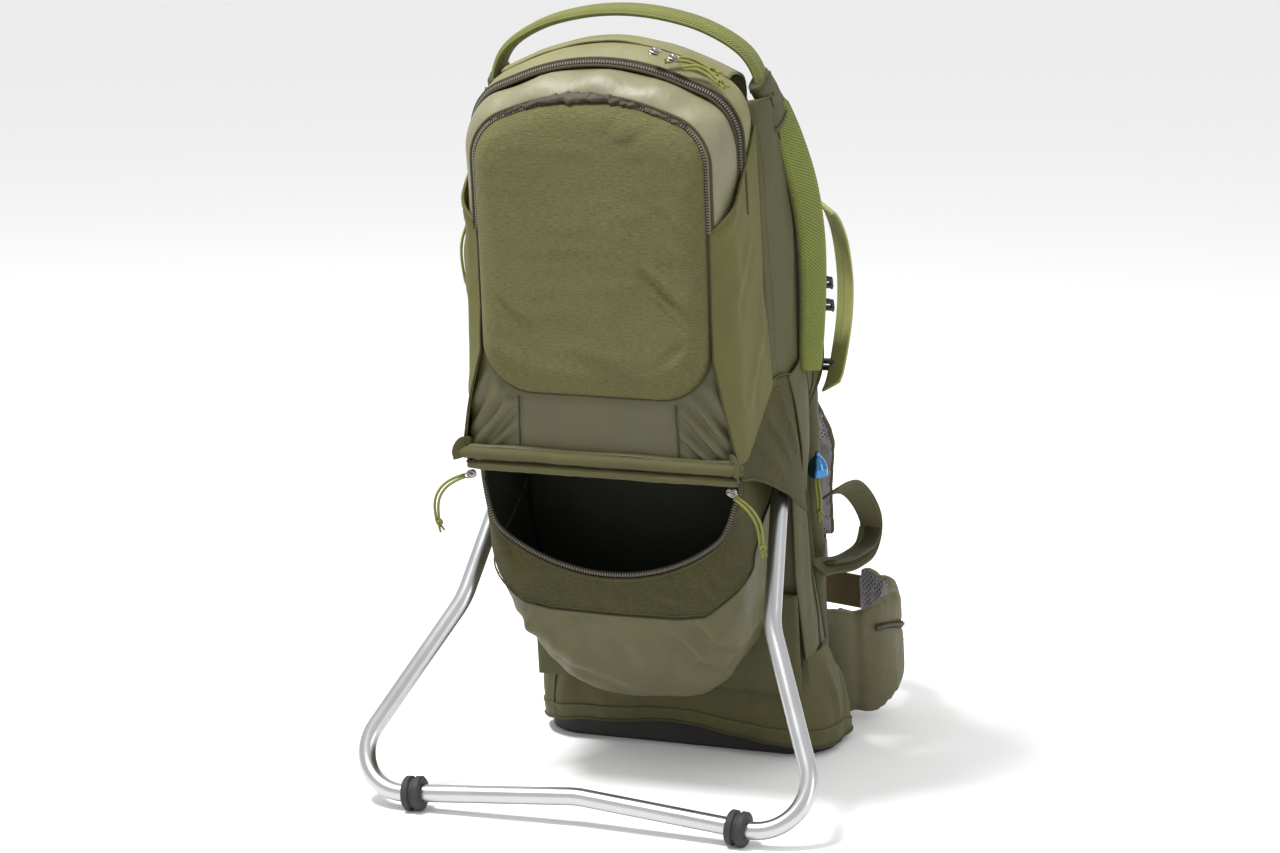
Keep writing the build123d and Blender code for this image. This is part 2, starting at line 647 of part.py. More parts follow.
# Zip tapes: main bag, front pocket, and the lower pocket's straight tape and curved lip tape.
TAPE = 3.6
with BuildPart() as zip_tapes:
    with BuildSketch(facing(ZIP_PLANE + TAPE / 2)):
        add(bag_outline(BAG_HALF_WIDTH + 1.5, BAG_LOW + 20, 668, 710, 44))
        add(bag_outline(BAG_HALF_WIDTH - 14, BAG_LOW + 5, 652, 696, 40), mode=Mode.SUBTRACT)
    extrude(amount=TAPE)
    with BuildSketch(facing(BAG_FRONT - 0.3)):
        add(bag_outline(POCKET_HALF_WIDTH + 3, 434, 654, 685, 34))
        add(bag_outline(POCKET_HALF_WIDTH - 9, 430, 640, 669, 28), mode=Mode.SUBTRACT)
    extrude(amount=3)
    with BuildSketch(facing(-226.4)):
        with Locations((0, MOUTH_TOP - 2.5)):
            Rectangle(2 * MOUTH_HALF_WIDTH - 30, 7)
    extrude(amount=1.6)
    with BuildSketch(facing(-226.4)):
        with Locations((0, LIP_CENTRE_UP)):
            Circle(LIP_RADIUS + 6)
            Circle(LIP_RADIUS + 0.5, mode=Mode.SUBTRACT)
        with Locations((0, MOUTH_TOP - 8 + 200)):
            Rectangle(600, 400, mode=Mode.SUBTRACT)
    extrude(amount=1.6)
save(zip_tapes, "zip_tapes")

# ---------------------------------------------------------------- cockpit sides
# Side panel from storage to frame, with the leg opening at its rear lower edge.
panel_profile = [(-126, 664), (-96, 664), (-62, 618), (-14, 536), (14, 500), (18, 372), (-44, 352),
                 (-50, 275), (-39, 200), (-22, 142), (-12, 116), (-70, 116), (-88, 200), (-88, 300),
                 (-78, 372), (-126, 410)]
# Cover over the pivot hub and the top of the kickstand leg.
cover_profile = [(-214, 372), (-125, 404), (-36, 387), (-58, 300), (-98, 288), (-150, 320), (-208, 348)]
# Sleeve that joins the top handle to the side grip.
sleeve_profile = [(-110, 668), (-88, 682), (-52, 640), (-72, 634), (-92, 640)]
COVER_INNER = 141.0
for name, s in SIDES:
    with BuildPart() as side_panel:
        with BuildSketch(across(s * SIDE_INNER)):
            with BuildLine():
                Polyline(*panel_profile, close=True)
            make_face()
        extrude(amount=s * (SIDE_OUTER - SIDE_INNER))
        with BuildSketch(across(s * COVER_INNER)):
            with BuildLine():
                Polyline(*cover_profile, close=True)
            make_face()
        extrude(amount=s * 2.5)
        with BuildSketch(across(s * (SIDE_OUTER + 0.5))):
            with BuildLine():
                Polyline(*sleeve_profile, close=True)
            make_face()
        extrude(amount=s * 10)
    save(side_panel, f"side_panel_{name}")

# Drool pad over the front edge of the cockpit.
with BuildPart() as drool_pad:
    with BuildSketch(across(-98)):
        with BuildLine():
            Polyline((-24, 436), (1.5, 436), (1.5, 516.5), (22, 516.5), (22, 538), (10, 548), (-14, 548),
                     (-24, 538),
                     close=True)
        make_face()
    extrude(amount=196)
save(drool_pad, "drool_pad")

# ---------------------------------------------------------------- rivets
RIVET_HEAD = 1.8
with BuildPart() as frame_rivets:
    for name, s in SIDES:
        for back, up in HUB_RIVETS:
            with BuildSketch(across(s * (HUB_OUTER + 0.05), back, up)):
                Circle(RIVET_D * 0.8)
            extrude(amount=s * RIVET_HEAD, taper=20)
            with BuildSketch(across(s * (HUB_OUTER + 0.05), back, up)):
                Circle(RIVET_D / 2)
            extrude(amount=-s * (RIVET_DEPTH - 1))
    for x, up in SHEET_RIVETS:
        with BuildSketch(facing(SHEET_BACK + 0.05, x, up)):
            Circle(RIVET_D * 0.8)
        extrude(amount=-RIVET_HEAD, taper=20)
        with BuildSketch(facing(SHEET_BACK + 0.05, x, up)):
            Circle(RIVET_D / 2)
        extrude(amount=2.2)
save(frame_rivets, "frame_rivets")

# ---------------------------------------------------------------- handles
# Top handle: a padded arch over the storage bag.
HANDLE_BACK = -99.0
HANDLE_AXIS_UP = 660.0
handle_arch = [(-123, 652), (-121, 692), (-88, 724), (0, 742), (88, 724), (121, 692), (123, 652)]
with BuildPart() as top_handle:
    with BuildLine() as arch:
        FilletPolyline(*[spot(x, HANDLE_BACK, up) for x, up in handle_arch], radius=24)
    with BuildSketch(Plane(origin=arch.line @ 0, x_dir=BACK, z_dir=arch.line % 0)):
        Rectangle(28, 8)
    sweep()
save(top_handle, "top_handle")

grip_route = [(-72, 626), (-46, 560), (-35, 480), (-58, 410)]
lift_route = [(-4, 534), (44, 514), (76, 450), (54, 400), (-2, 362)]
stirrup_route = [(-26, 262), (62, 232), (124, 178), (82, 152), (8, 160)]
GRIP_X = SIDE_OUTER + 2 + GRIP_THICK / 2
LIFT_X = SIDE_OUTER + 2 + LIFT_WIDTH / 2
for name, s in SIDES:
    with BuildPart() as side_grip:
        add(band([spot(s * GRIP_X, back, up) for back, up in grip_route], 60.0, GRIP_THICK, GRIP_WIDTH))
    save(side_grip, f"side_grip_{name}")
    with BuildPart() as lift_handle:
        add(band([spot(s * LIFT_X, back, up) for back, up in lift_route], 24.0, LIFT_WIDTH, WEBBING))
    save(lift_handle, f"lift_handle_{name}")
    with BuildPart() as stirrup:
        add(band([spot(s * LIFT_X, back, up) for back, up in stirrup_route], 12.0, LIFT_WIDTH, WEBBING))
    save(stirrup, f"stirrup_{name}")

# ---------------------------------------------------------------- child's seat
with BuildPart() as child_seat:
    with BuildSketch(across(-78)):
        with BuildLine():
            Polyline((-117, 470), (-117, 190), (-104, 180), (-8, 184), (-4, 200), (-92, 204), (-103, 216),
                     (-103, 470), close=True)
        make_face()
    extrude(amount=156)
save(child_seat, "child_seat")

# Child's harness: two shoulder straps and a crotch strap, which meet at the buckle.
HARNESS_BUCKLE_UP = 300.0
with BuildPart() as seat_harness:
    for name, s in SIDES:
        with BuildLine() as harness_path:
            Line(spot(s * 44, -100.2, 446), spot(s * 24, -74, 330))
        with BuildSketch(Plane(origin=harness_path.line @ 0, x_dir=(1, 0, 0), z_dir=harness_path.line % 0)):
            Rectangle(28, 4)
        sweep()
    with BuildLine() as crotch_path:
        Line(spot(0, -40, 206.5), spot(0, -68, 282))
    with BuildSketch(Plane(origin=crotch_path.line @ 0, x_dir=(1, 0, 0), z_dir=crotch_path.line % 0)):
        Rectangle(28, 4)
    sweep()
save(seat_harness, "seat_harness")

with BuildPart() as harness_buckle:
    with BuildSketch(facing(-63, 0, 306)):
        RectangleRounded(62, 44, 10)
    extrude(amount=12)
    fillet(harness_buckle.edges().group_by(Axis(spot(0, 0, 0), BACK))[-1], 3)
save(harness_buckle, "harness_buckle")

# ---------------------------------------------------------------- zip sliders and their pull cords
SLIDER_UP = 573.0
MAIN_SLIDER_X = -(BAG_HALF_WIDTH + 1.5 + 0.3)
with BuildPart() as main_zip_slider:
    with BuildSketch(across(MAIN_SLIDER_X, ZIP_PLANE, SLIDER_UP)):
        RectangleRounded(9, 14, 2)
    extrude(amount=-4)
save(main_zip_slider, "main_zip_slider")

# Two sliders parked together on the crown of the main zip, which slopes down to the right.
CROWN_FALL = 46.0            # from the bag's crown down to its shoulder
crown_slope = atan2(CROWN_FALL, BAG_HALF_WIDTH)
CROWN_UP = 722.6
with BuildPart() as top_zip_sliders:
    for x in (50, 66):
        crown_plane = Plane(origin=spot(x, ZIP_PLANE, CROWN_UP - CROWN_FALL * x / BAG_HALF_WIDTH),
                            x_dir=BACK, z_dir=UP.rotate(Axis((0, 0, 0), BACK), degrees(crown_slope)))
        with BuildSketch(crown_plane):
            RectangleRounded(9, 13, 2)
        extrude(amount=4)
save(top_zip_sliders, "top_zip_sliders")

for name, s in SIDES:
    with BuildPart() as lower_zip_slider:
        with BuildSketch(facing(-229, s * 122, 340)):
            RectangleRounded(13, 9, 2)
        extrude(amount=4)
    save(lower_zip_slider, f"lower_zip_slider_{name}")

# Each route is a list of places in the body frame, from the slider to the knot.
main_cord_route = [(-129, -167, 566), (-131, -169, 553), (-136, -173, 538), (-136, -176, 519),
                   (-134, -178, 503)]
with BuildPart() as main_zip_cord:
    add(cord("main zip", main_cord_route))
save(main_zip_cord, "main_zip_cord")

top_cord_routes = [
    [(57, -160, 705), (64, -154, 706), (74, -149, 705), (85, -147, 700.5), (95, -149, 694.5)],
    [(73, -161, 699), (80, -157, 700.5), (90, -155, 698.5), (99, -157, 693.5), (107, -162, 687.5)],
]
lower_cord_route = [(127, -236, 339), (136, -239, 336), (147, -242, 327), (153, -243, 313), (152, -243, 297)]
for name, s in SIDES:
    with BuildPart() as lower_zip_cord:
        add(cord(f"lower zip {name}", [(s * x, back, up) for x, back, up in lower_cord_route]))
    save(lower_zip_cord, f"lower_zip_cord_{name}")

for name, route in zip(("outer", "inner"), top_cord_routes):
    with BuildPart() as top_zip_cord:
        add(cord(f"top zip {name}", route))
    save(top_zip_cord, f"top_zip_cord_{name}")

# Anodised bell toggle that hangs by a ring beside the leg opening, with a short cord below it.
BELL_X = 142.0
BELL_BACK = -46.0
BELL_UP = 289.0
with BuildPart() as bell_toggle:
    with BuildSketch(across(BELL_X, BELL_BACK, BELL_UP)):
        with BuildLine():
            Polyline((0, 0), (9, 0), (9, 7), (7.5, 12.5), (4.5, 17), (2.2, 19), (2.2, 22), (0, 22),
                     close=True)
        make_face()
    revolve(axis=Axis(spot(BELL_X, BELL_BACK, BELL_UP), UP), revolution_arc=360)
save(bell_toggle, "bell_toggle")

toggle_route = [(BELL_X, BELL_BACK, 288.9), (BELL_X + 0.4, BELL_BACK - 0.6, 280),
                (BELL_X + 1.8, BELL_BACK - 0.4, 270),
                (BELL_X + 1.4, BELL_BACK + 0.8, 260), (BELL_X + 0.2, BELL_BACK + 0.6, 252)]
with BuildPart() as toggle_cord:
    add(cord("toggle", toggle_route))
save(toggle_cord, "toggle_cord")
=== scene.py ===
from math import acos, cos, pi, radians, sin, tan

import bmesh
import bpy
import numpy as np
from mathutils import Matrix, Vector, noise


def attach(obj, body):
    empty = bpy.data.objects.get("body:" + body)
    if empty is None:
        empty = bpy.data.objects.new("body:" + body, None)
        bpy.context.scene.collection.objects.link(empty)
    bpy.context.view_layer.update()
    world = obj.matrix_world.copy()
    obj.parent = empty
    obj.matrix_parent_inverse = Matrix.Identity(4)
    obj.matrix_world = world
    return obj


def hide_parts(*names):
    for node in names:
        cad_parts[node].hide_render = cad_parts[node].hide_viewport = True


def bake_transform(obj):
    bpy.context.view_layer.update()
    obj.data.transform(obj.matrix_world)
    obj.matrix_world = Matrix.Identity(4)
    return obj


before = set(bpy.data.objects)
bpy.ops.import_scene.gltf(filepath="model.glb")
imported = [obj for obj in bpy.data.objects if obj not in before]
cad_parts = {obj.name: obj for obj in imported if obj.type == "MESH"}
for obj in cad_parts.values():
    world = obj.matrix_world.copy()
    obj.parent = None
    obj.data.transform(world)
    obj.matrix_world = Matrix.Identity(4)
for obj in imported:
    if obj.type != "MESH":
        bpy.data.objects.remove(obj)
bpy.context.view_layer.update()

# A child carrier backpack.  Shapes are drawn in the pack's leaning body frame, in millimetres:
# x across, back towards the wearer, up along the frame.  place() turns them into the row frame.
LEAN = radians(10)
SIDES = (("left", -1), ("right", 1))
BACK = Vector((0, cos(LEAN), sin(LEAN)))
UP = Vector((0, -sin(LEAN), cos(LEAN)))


def place(points):
    """Points of the leaning body frame, in millimetres, as metres in the row frame."""
    p = np.asarray(points, float) / 1000
    x, back, up = p[..., 0], p[..., 1], p[..., 2]
    return np.stack([x, back * cos(LEAN) - up * sin(LEAN), back * sin(LEAN) + up * cos(LEAN)], axis=-1)


def body_frame(points):
    """Row frame metres as body frame millimetres."""
    p = np.asarray(points, float) * 1000
    return np.stack([p[:, 0], p[:, 1] * cos(LEAN) + p[:, 2] * sin(LEAN),
                     p[:, 2] * cos(LEAN) - p[:, 1] * sin(LEAN)], axis=-1)


def leaning(node):
    """Lowest and highest place of a CAD node in the leaning body frame, in millimetres."""
    turned = body_frame([v.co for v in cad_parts[node].data.vertices])
    return turned.min(0), turned.max(0)


# ---------------------------------------------------------------- camera
CAMERA_AZIMUTH = radians(20)
CAMERA_ELEVATION = radians(10.5)
CAMERA_DISTANCE = 3.2
LOOK_AT = Vector((-0.0772, 0.0283, 0.2861))
camera = bpy.data.objects.new("camera", bpy.data.cameras.new("camera"))
bpy.context.scene.collection.objects.link(camera)
bpy.context.scene.camera = camera
towards_camera = Vector((sin(CAMERA_AZIMUTH) * cos(CAMERA_ELEVATION),
                         -cos(CAMERA_AZIMUTH) * cos(CAMERA_ELEVATION), sin(CAMERA_ELEVATION)))
camera.location = LOOK_AT + towards_camera * CAMERA_DISTANCE
camera.rotation_euler = (-towards_camera).to_track_quat("-Z", "Y").to_euler()
camera.data.sensor_width = 36
camera.data.lens = 92.27

# ---------------------------------------------------------------- stage
bpy.context.scene.view_settings.view_transform = "Standard"
world = bpy.data.worlds.new("studio")
bpy.context.scene.world = world
world.use_nodes = True
world.node_tree.nodes["Background"].inputs["Color"].default_value = (1.0, 1.0, 1.0, 1.0)
world.node_tree.nodes["Background"].inputs["Strength"].default_value = 0.92


def soft_light(name, spot, size, power):
    """A large soft lamp that looks at the middle of the pack."""
    lamp = bpy.data.lights.new(name, "AREA")
    lamp.shape = "RECTANGLE"
    lamp.size, lamp.size_y = size
    lamp.energy = power
    o = bpy.data.objects.new(name, lamp)
    o.location = spot
    o.rotation_euler = (Vector((0, 0, 0.38)) - Vector(spot)).to_track_quat("-Z", "Y").to_euler()
    bpy.context.scene.collection.objects.link(o)


soft_light("key", (-0.7, -0.9, 2.7), (0.55, 0.5), 95)
soft_light("right", (2.2, -0.8, 0.9), (0.5, 1.6), 11)
soft_light("back", (0.6, 2.0, 1.6), (1.6, 1.2), 8)

floor_mesh = bpy.data.meshes.new("floor")
floor_mesh.from_pydata([(-40, -40, 0), (40, -40, 0), (40, 40, 0), (-40, 40, 0)], [], [(0, 1, 2, 3)])
floor = bpy.data.objects.new("floor", floor_mesh)
bpy.context.scene.collection.objects.link(floor)
pale = bpy.data.materials.new("pale_floor")
pale.use_nodes = True
pale.node_tree.nodes["Principled BSDF"].inputs["Base Color"].default_value = (0.9, 0.9, 0.9, 1)
pale.node_tree.nodes["Principled BSDF"].inputs["Roughness"].default_value = 0.9
floor_mesh.materials.append(pale)


# ---------------------------------------------------------------- shapes
def bend_path(points, radii, arc=10, run=12, closed=False):
    """A path of straight runs with an arc at each corner: arc steps round a corner, run steps along a run."""
    points = [np.asarray(p, float) for p in points]
    count = len(points)
    inner = range(count) if closed else range(1, count - 1)
    radii = radii if hasattr(radii, "__len__") else [radii] * len(inner)
    pieces = [] if closed else [[points[0]]]
    for i, radius in zip(inner, radii):
        corner = points[i]
        one = unit(points[i - 1] - corner)
        two = unit(points[(i + 1) % count] - corner)
        half = acos(max(-1, min(1, float(one @ two)))) / 2
        middle = unit(one + two)
        centre = corner + middle * radius / sin(half)
        start = corner + one * radius / tan(half) - centre
        end = corner + two * radius / tan(half) - centre
        turn = pi - 2 * half
        pieces.append([centre + (start * sin((1 - t) * turn) + end * sin(t * turn)) / sin(turn)
                       for t in np.linspace(0, 1, arc + 1)])
    if not closed:
        pieces.append([points[-1]])
    path = []
    for i, piece in enumerate(pieces):
        path += piece
        if i + 1 < len(pieces) or closed:
            after = pieces[(i + 1) % len(pieces)][0]
            path += [piece[-1] + (after - piece[-1]) * t for t in np.linspace(0, 1, run + 1)[1:-1]]
    return np.array(path)


def along(path):
    """Length along a path at each of its points."""
    return np.concatenate([[0], np.cumsum(np.linalg.norm(np.diff(path, axis=0), axis=1))])


def unit(vectors):
    """The same directions at length 1."""
    return vectors / np.linalg.norm(vectors, axis=-1, keepdims=True)


def raised(plan, up):
    """A plan, as points at one height."""
    return np.stack([plan[:, 0], plan[:, 1], np.full(len(plan), up)], axis=-1)


def spread(path, count):
    """The path again as evenly spaced points."""
    length = along(path)
    at = np.linspace(0, length[-1], count)
    return np.stack([np.interp(at, length, path[:, k]) for k in range(path.shape[1])], axis=-1)


def curve_through(points, count=60):
    """A smooth path through a few points."""
    points = np.asarray(points, float)
    padded = np.concatenate([[2 * points[0] - points[1]], points, [2 * points[-1] - points[-2]]])
    path = []
    for a, b, c, d in zip(padded, padded[1:], padded[2:], padded[3:]):
        for t in np.linspace(0, 1, 16, endpoint=False):
            path.append(0.5 * (2 * b + (c - a) * t + (2 * a - 5 * b + 4 * c - d) * t ** 2
                               + (3 * b - a - 3 * c + d) * t ** 3))
    path.append(points[-1])
    return spread(np.array(path), count)


def bag_outline(half, low, shoulder, crown, corner, base):
    """Front outline of a bag: rounded bottom corners, rounded shoulders and a low crown."""
    corners = [(-half, low), (half, low), (half, shoulder), (0, crown + 6.5), (-half, shoulder)]
    return bend_path(corners, [base, base, corner, 190, corner], arc=14, run=26, closed=True)


def grid_normals(grid, wrap=False):
    """Unit normal at each point of a grid, pointing away from the grid's middle."""
    if wrap:
        across = np.roll(grid, -1, 1) - np.roll(grid, 1, 1)
    else:
        across = np.gradient(grid, axis=1)
    down = np.gradient(grid, axis=0)
    normal = np.cross(across, down)
    normal /= np.maximum(np.linalg.norm(normal, axis=-1, keepdims=True), 1e-9)
    return normal


def ripple(grid, size, seed, stretch=(1, 1, 1)):
    """Smooth noise from -1 to 1 at each point of a grid, with lumps of about that size in millimetres."""
    scaled = grid.reshape(-1, 3) / (np.array(stretch) * size) + seed * 17.3
    values = np.array([noise.noise(Vector(p)) for p in scaled])
    return values.reshape(grid.shape[:-1])


def crease(p, q, start, end, width, height):
    """Height of a soft fold along a line: a ridge with a valley beside it, fading at both ends."""
    run = np.subtract(end, start)
    length = np.hypot(*run)
    t = ((p - start[0]) * run[0] + (q - start[1]) * run[1]) / length ** 2
    away = ((p - start[0]) * run[1] - (q - start[1]) * run[0]) / length
    fade = np.sin(pi * np.clip(t, 0, 1)) ** 0.6
    return height * fade * (np.exp(-(away / width) ** 2) - 0.7 * np.exp(-((away - 1.7 * width) / width) ** 2))


def creases(p, q, *folds):
    """Several soft folds together, each given as start, end, width and height."""
    return sum(crease(p, q, *fold) for fold in folds)


def ease(low, high, value):
    """0 below low, 1 above high, and a smooth step between."""
    t = np.clip((value - low) / (high - low), 0, 1)
    return t * t * (3 - 2 * t)


# ---------------------------------------------------------------- pieces
def finish_piece(o, body, nodes=()):
    """Rides a piece on its body and hides the CAD nodes it stands for."""
    if body:
        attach(o, body)
    if nodes:
        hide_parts(*nodes)
    return o


def mesh_piece(name, points, faces, corners, material, body, nodes=(), out=None):
    """A mesh in the body frame.  corners holds the weave's place, in metres, of each face corner."""
    mesh = bpy.data.meshes.new(name)
    mesh.from_pydata(place(points).tolist(), [], faces)
    layer = mesh.uv_layers.new(name="weave")
    layer.data.foreach_set("uv", np.asarray(corners, np.float32).ravel())
    mesh.polygons.foreach_set("use_smooth", [True] * len(mesh.polygons))
    if out is None:
        tidy = bmesh.new()
        tidy.from_mesh(mesh)
        bmesh.ops.recalc_face_normals(tidy, faces=tidy.faces)
        tidy.to_mesh(mesh)
        tidy.free()
    else:
        facing = sum((p.normal * p.area for p in mesh.polygons), Vector())
        if facing.dot(Vector(place(np.array(out, float)))) < 0:
            mesh.flip_normals()
    for m in material if isinstance(material, (list, tuple)) else [material]:
        mesh.materials.append(m)
    o = bpy.data.objects.new(name, mesh)
    bpy.context.scene.collection.objects.link(o)
    return finish_piece(o, body, nodes)


def grid_piece(name, grid, material, body="frame", slot="olive_fabric", nodes=(), wrap=False, caps="",
               out=None, thick=0.0, flat=False):
    """A piece from a grid of points.  caps closes the "last" row or "both"; thick makes cloth of it."""
    rows, cols = grid.shape[:2]
    looped = np.concatenate([grid, grid[:, :1]], axis=1) if wrap else grid
    u = np.concatenate([[0], np.cumsum(np.linalg.norm(np.diff(looped, axis=1), axis=-1).mean(0))]) / 1000
    v = np.concatenate([[0], np.cumsum(np.linalg.norm(np.diff(grid, axis=0), axis=-1).mean(1))]) / 1000
    points = grid.reshape(-1, 3).tolist()
    faces, corners = [], []
    for i in range(rows - 1):
        for j in range(len(u) - 1):
            k = (j + 1) % cols
            faces.append((i * cols + j, i * cols + k, (i + 1) * cols + k, (i + 1) * cols + j))
            corners += [(u[j], v[i]), (u[j + 1], v[i]), (u[j + 1], v[i + 1]), (u[j], v[i + 1])]
    for row in {"last": [rows - 1], "both": [0, rows - 1]}.get(caps, []):
        middle = len(points)
        points.append(grid[row].mean(0).tolist())
        for j in range(cols):
            k = (j + 1) % cols
            faces.append((row * cols + j, row * cols + k, middle))
            corners += [(u[j], v[row]), (u[j + 1], v[row]), (u[j], v[row] + 0.01)]
    o = mesh_piece(name, points, faces, corners, material, body, nodes, out)
    if flat:
        box_weave(o)
    if thick:
        cloth = o.modifiers.new("cloth", "SOLIDIFY")
        cloth.thickness = thick / 1000
        cloth.offset = -1
        cloth.use_even_offset = False
    return o


def turn_frames(path, start):
    """Unit directions along a path, and two unit directions square to it that don't twist."""
    ahead = np.gradient(path, axis=0)
    ahead /= np.maximum(np.linalg.norm(ahead, axis=1, keepdims=True), 1e-9)
    side = np.zeros_like(path)
    current = np.asarray(start, float)
    if np.linalg.norm(np.cross(current, ahead[0])) < 0.01:
        current = np.array(ahead[0][[1, 2, 0]])
    for i, forward in enumerate(ahead):
        current = current - forward * (current @ forward)
        current = current / max(np.linalg.norm(current), 1e-9)
        side[i] = current
    return ahead, side, np.cross(ahead, side)


def swept(path, section, start):
    """Grid of a section swept along a path.  section has (side, up) offsets, for all points or for each."""
    _, side, up = turn_frames(path, start)
    section = np.asarray(section, float)
    if section.ndim == 2:
        section = np.repeat(section[None], len(path), axis=0)
    return path[:, None] + side[:, None] * section[..., :1] + up[:, None] * section[..., 1:]


def ring(radius, sides=10, tall=1.0):
    """A round or oval section."""
    return np.array([(radius * cos(a), radius * tall * sin(a))
                     for a in np.linspace(0, 2 * pi, sides, endpoint=False)])


def flat_section(width, thick, edge=0.45):
    """Section of a webbing band: flat, with rounded edges."""
    w, t = width / 2, thick / 2
    corner = min(edge * thick, t * 0.95)
    corners = [(-w, -t), (w, -t), (w, t), (-w, t)]
    return bend_path(corners, corner, arc=3, run=6, closed=True)


def tube_piece(name, path, radius, material, body="frame", slot="olive_fabric", start=(0, 0, 1), sides=10,
               **more):
    """A round cord, piping or wire along a path."""
    radii = radius if hasattr(radius, "__len__") else [radius] * len(path)
    section = np.array([ring(r, sides) for r in radii])
    return grid_piece(name, swept(path, section, start), material, body, slot, wrap=True, caps="both", **more)


def strap_piece(name, path, across, width, thick, material, body="frame", slot="olive_fabric", **more):
    """Flat webbing along a path; across is the direction of its width at the start."""
    widths = width if hasattr(width, "__len__") else [width] * len(path)
    section = np.array([flat_section(w, thick) for w in widths])
    return grid_piece(name, swept(path, section, across), material, body, slot, wrap=True, caps="both",
                      **more)


def joined(name, blocks, material, body, nodes=()):
    """One piece from several (points, faces) blocks."""
    points, faces, corners = [], [], []
    for block_points, block_faces in blocks:
        first = len(points)
        points += np.asarray(block_points, float).tolist()
        faces += [tuple(first + i for i in f) for f in block_faces]
        for f in block_faces:
            for i in f:
                p = block_points[i]
                corners.append(((p[0] + p[1]) / 1000, p[2] / 1000))
    return mesh_piece(name, points, faces, corners, material, body, nodes)


def pill(middle, ahead, side, up, length, width, height):
    """A small rounded block, such as a stitch or a zip tooth, as (points, faces)."""
    middle, ahead, side, up = (np.asarray(a, float) for a in (middle, ahead, side, up))
    points, faces = [], []
    for t, size in ((-0.5, 0.45), (-0.3, 1.0), (0.3, 1.0), (0.5, 0.45)):
        for a, b in ((-1, -0.6), (1, -0.6), (1, 0.3), (0.5, 1), (-0.5, 1), (-1, 0.3)):
            points.append(middle + ahead * t * length + side * a * size * width / 2 + up * b * size * height
                          / 2)
    for i in range(3):
        for j in range(6):
            k = (j + 1) % 6
            faces.append((i * 6 + j, i * 6 + k, i * 6 + 6 + k, i * 6 + 6 + j))
    faces += [tuple(range(6)), tuple(range(18, 24))]
    return points, faces


def row_of_pills(path, lift, spacing, length, width, height, turned=False):
    """Pills along a path.  lift points outward, one for all or one each; turned lays them across the path."""
    count = max(2, int(along(path)[-1] / spacing))
    at = spread(path, count)
    if np.ndim(lift) == 2:
        size = np.linspace(0, 1, len(lift))
        lift = np.stack([np.interp(np.linspace(0, 1, count), size, lift[:, k]) for k in range(3)], axis=-1)
    else:
        lift = np.repeat(np.asarray(lift, float)[None], count, axis=0)
    ahead = unit(np.gradient(at, axis=0))
    side = unit(np.cross(ahead, lift))
    up = np.cross(side, ahead)
    blocks = []
    for p, a, s, u in zip(at, ahead, side, up):
        if turned:
            a, s = s, a
        blocks.append(pill(p, a, s, u, length, width, height))
    return blocks


def stitch_row(name, path, lift, body, spacing=3.2, material=None):
    """A seam's stitches along a path."""
    return joined(name, row_of_pills(path, lift, spacing, spacing * 0.68, 0.5, 0.45), material or thread,
                  body)


def zip_pieces(name, path, lift, body, width=7.0, raised=0.6, nodes=()):
    """A coil zip along a path: two tapes as one strip, and its teeth."""
    lift = np.asarray(lift, float)
    if lift.ndim == 1:
        lift = np.repeat(lift[None], len(path), axis=0)
    ahead = unit(np.gradient(path, axis=0))
    side = unit(np.cross(ahead, lift))
    up = np.cross(side, ahead)
    section = np.array([(-width / 2, -0.5), (-1.6, -0.3), (-1.4, 0.5), (-0.2, 0.7), (0, 0.3), (0.2, 0.7),
                        (1.4, 0.5), (1.6, -0.3), (width / 2, -0.5), (0, -1.2)])
    grid = path[:, None] + side[:, None] * section[None, :, :1] + up[:, None] * (section[None, :, 1:]
                                                                                 + raised)
    grid_piece(f"{name}_tape", grid, zip_tape, body, "zip_tape", nodes=nodes, wrap=True, caps="both")
    teeth = row_of_pills(path + up * (raised + 0.75), up, 2.4, 3.4, 1.3, 0.9, turned=True)
    joined(f"{name}_teeth", teeth, zip_coil, body)


def box_weave(o):
    """Lays the weave on a remeshed piece along the axis that each face looks down."""
    mesh = o.data
    layer = mesh.uv_layers.get("weave") or mesh.uv_layers.new(name="weave")
    for polygon in mesh.polygons:
        n = polygon.normal
        ahead, above = abs(n.dot(BACK)), abs(n.dot(UP))
        for loop in polygon.loop_indices:
            p = mesh.vertices[mesh.loops[loop].vertex_index].co
            x, back, up = p.x, p.dot(BACK), p.dot(UP)
            if abs(n.x) > max(ahead, above):
                layer.data[loop].uv = (back, up)
            elif ahead > above:
                layer.data[loop].uv = (x, up)
            else:
                layer.data[loop].uv = (x, back)


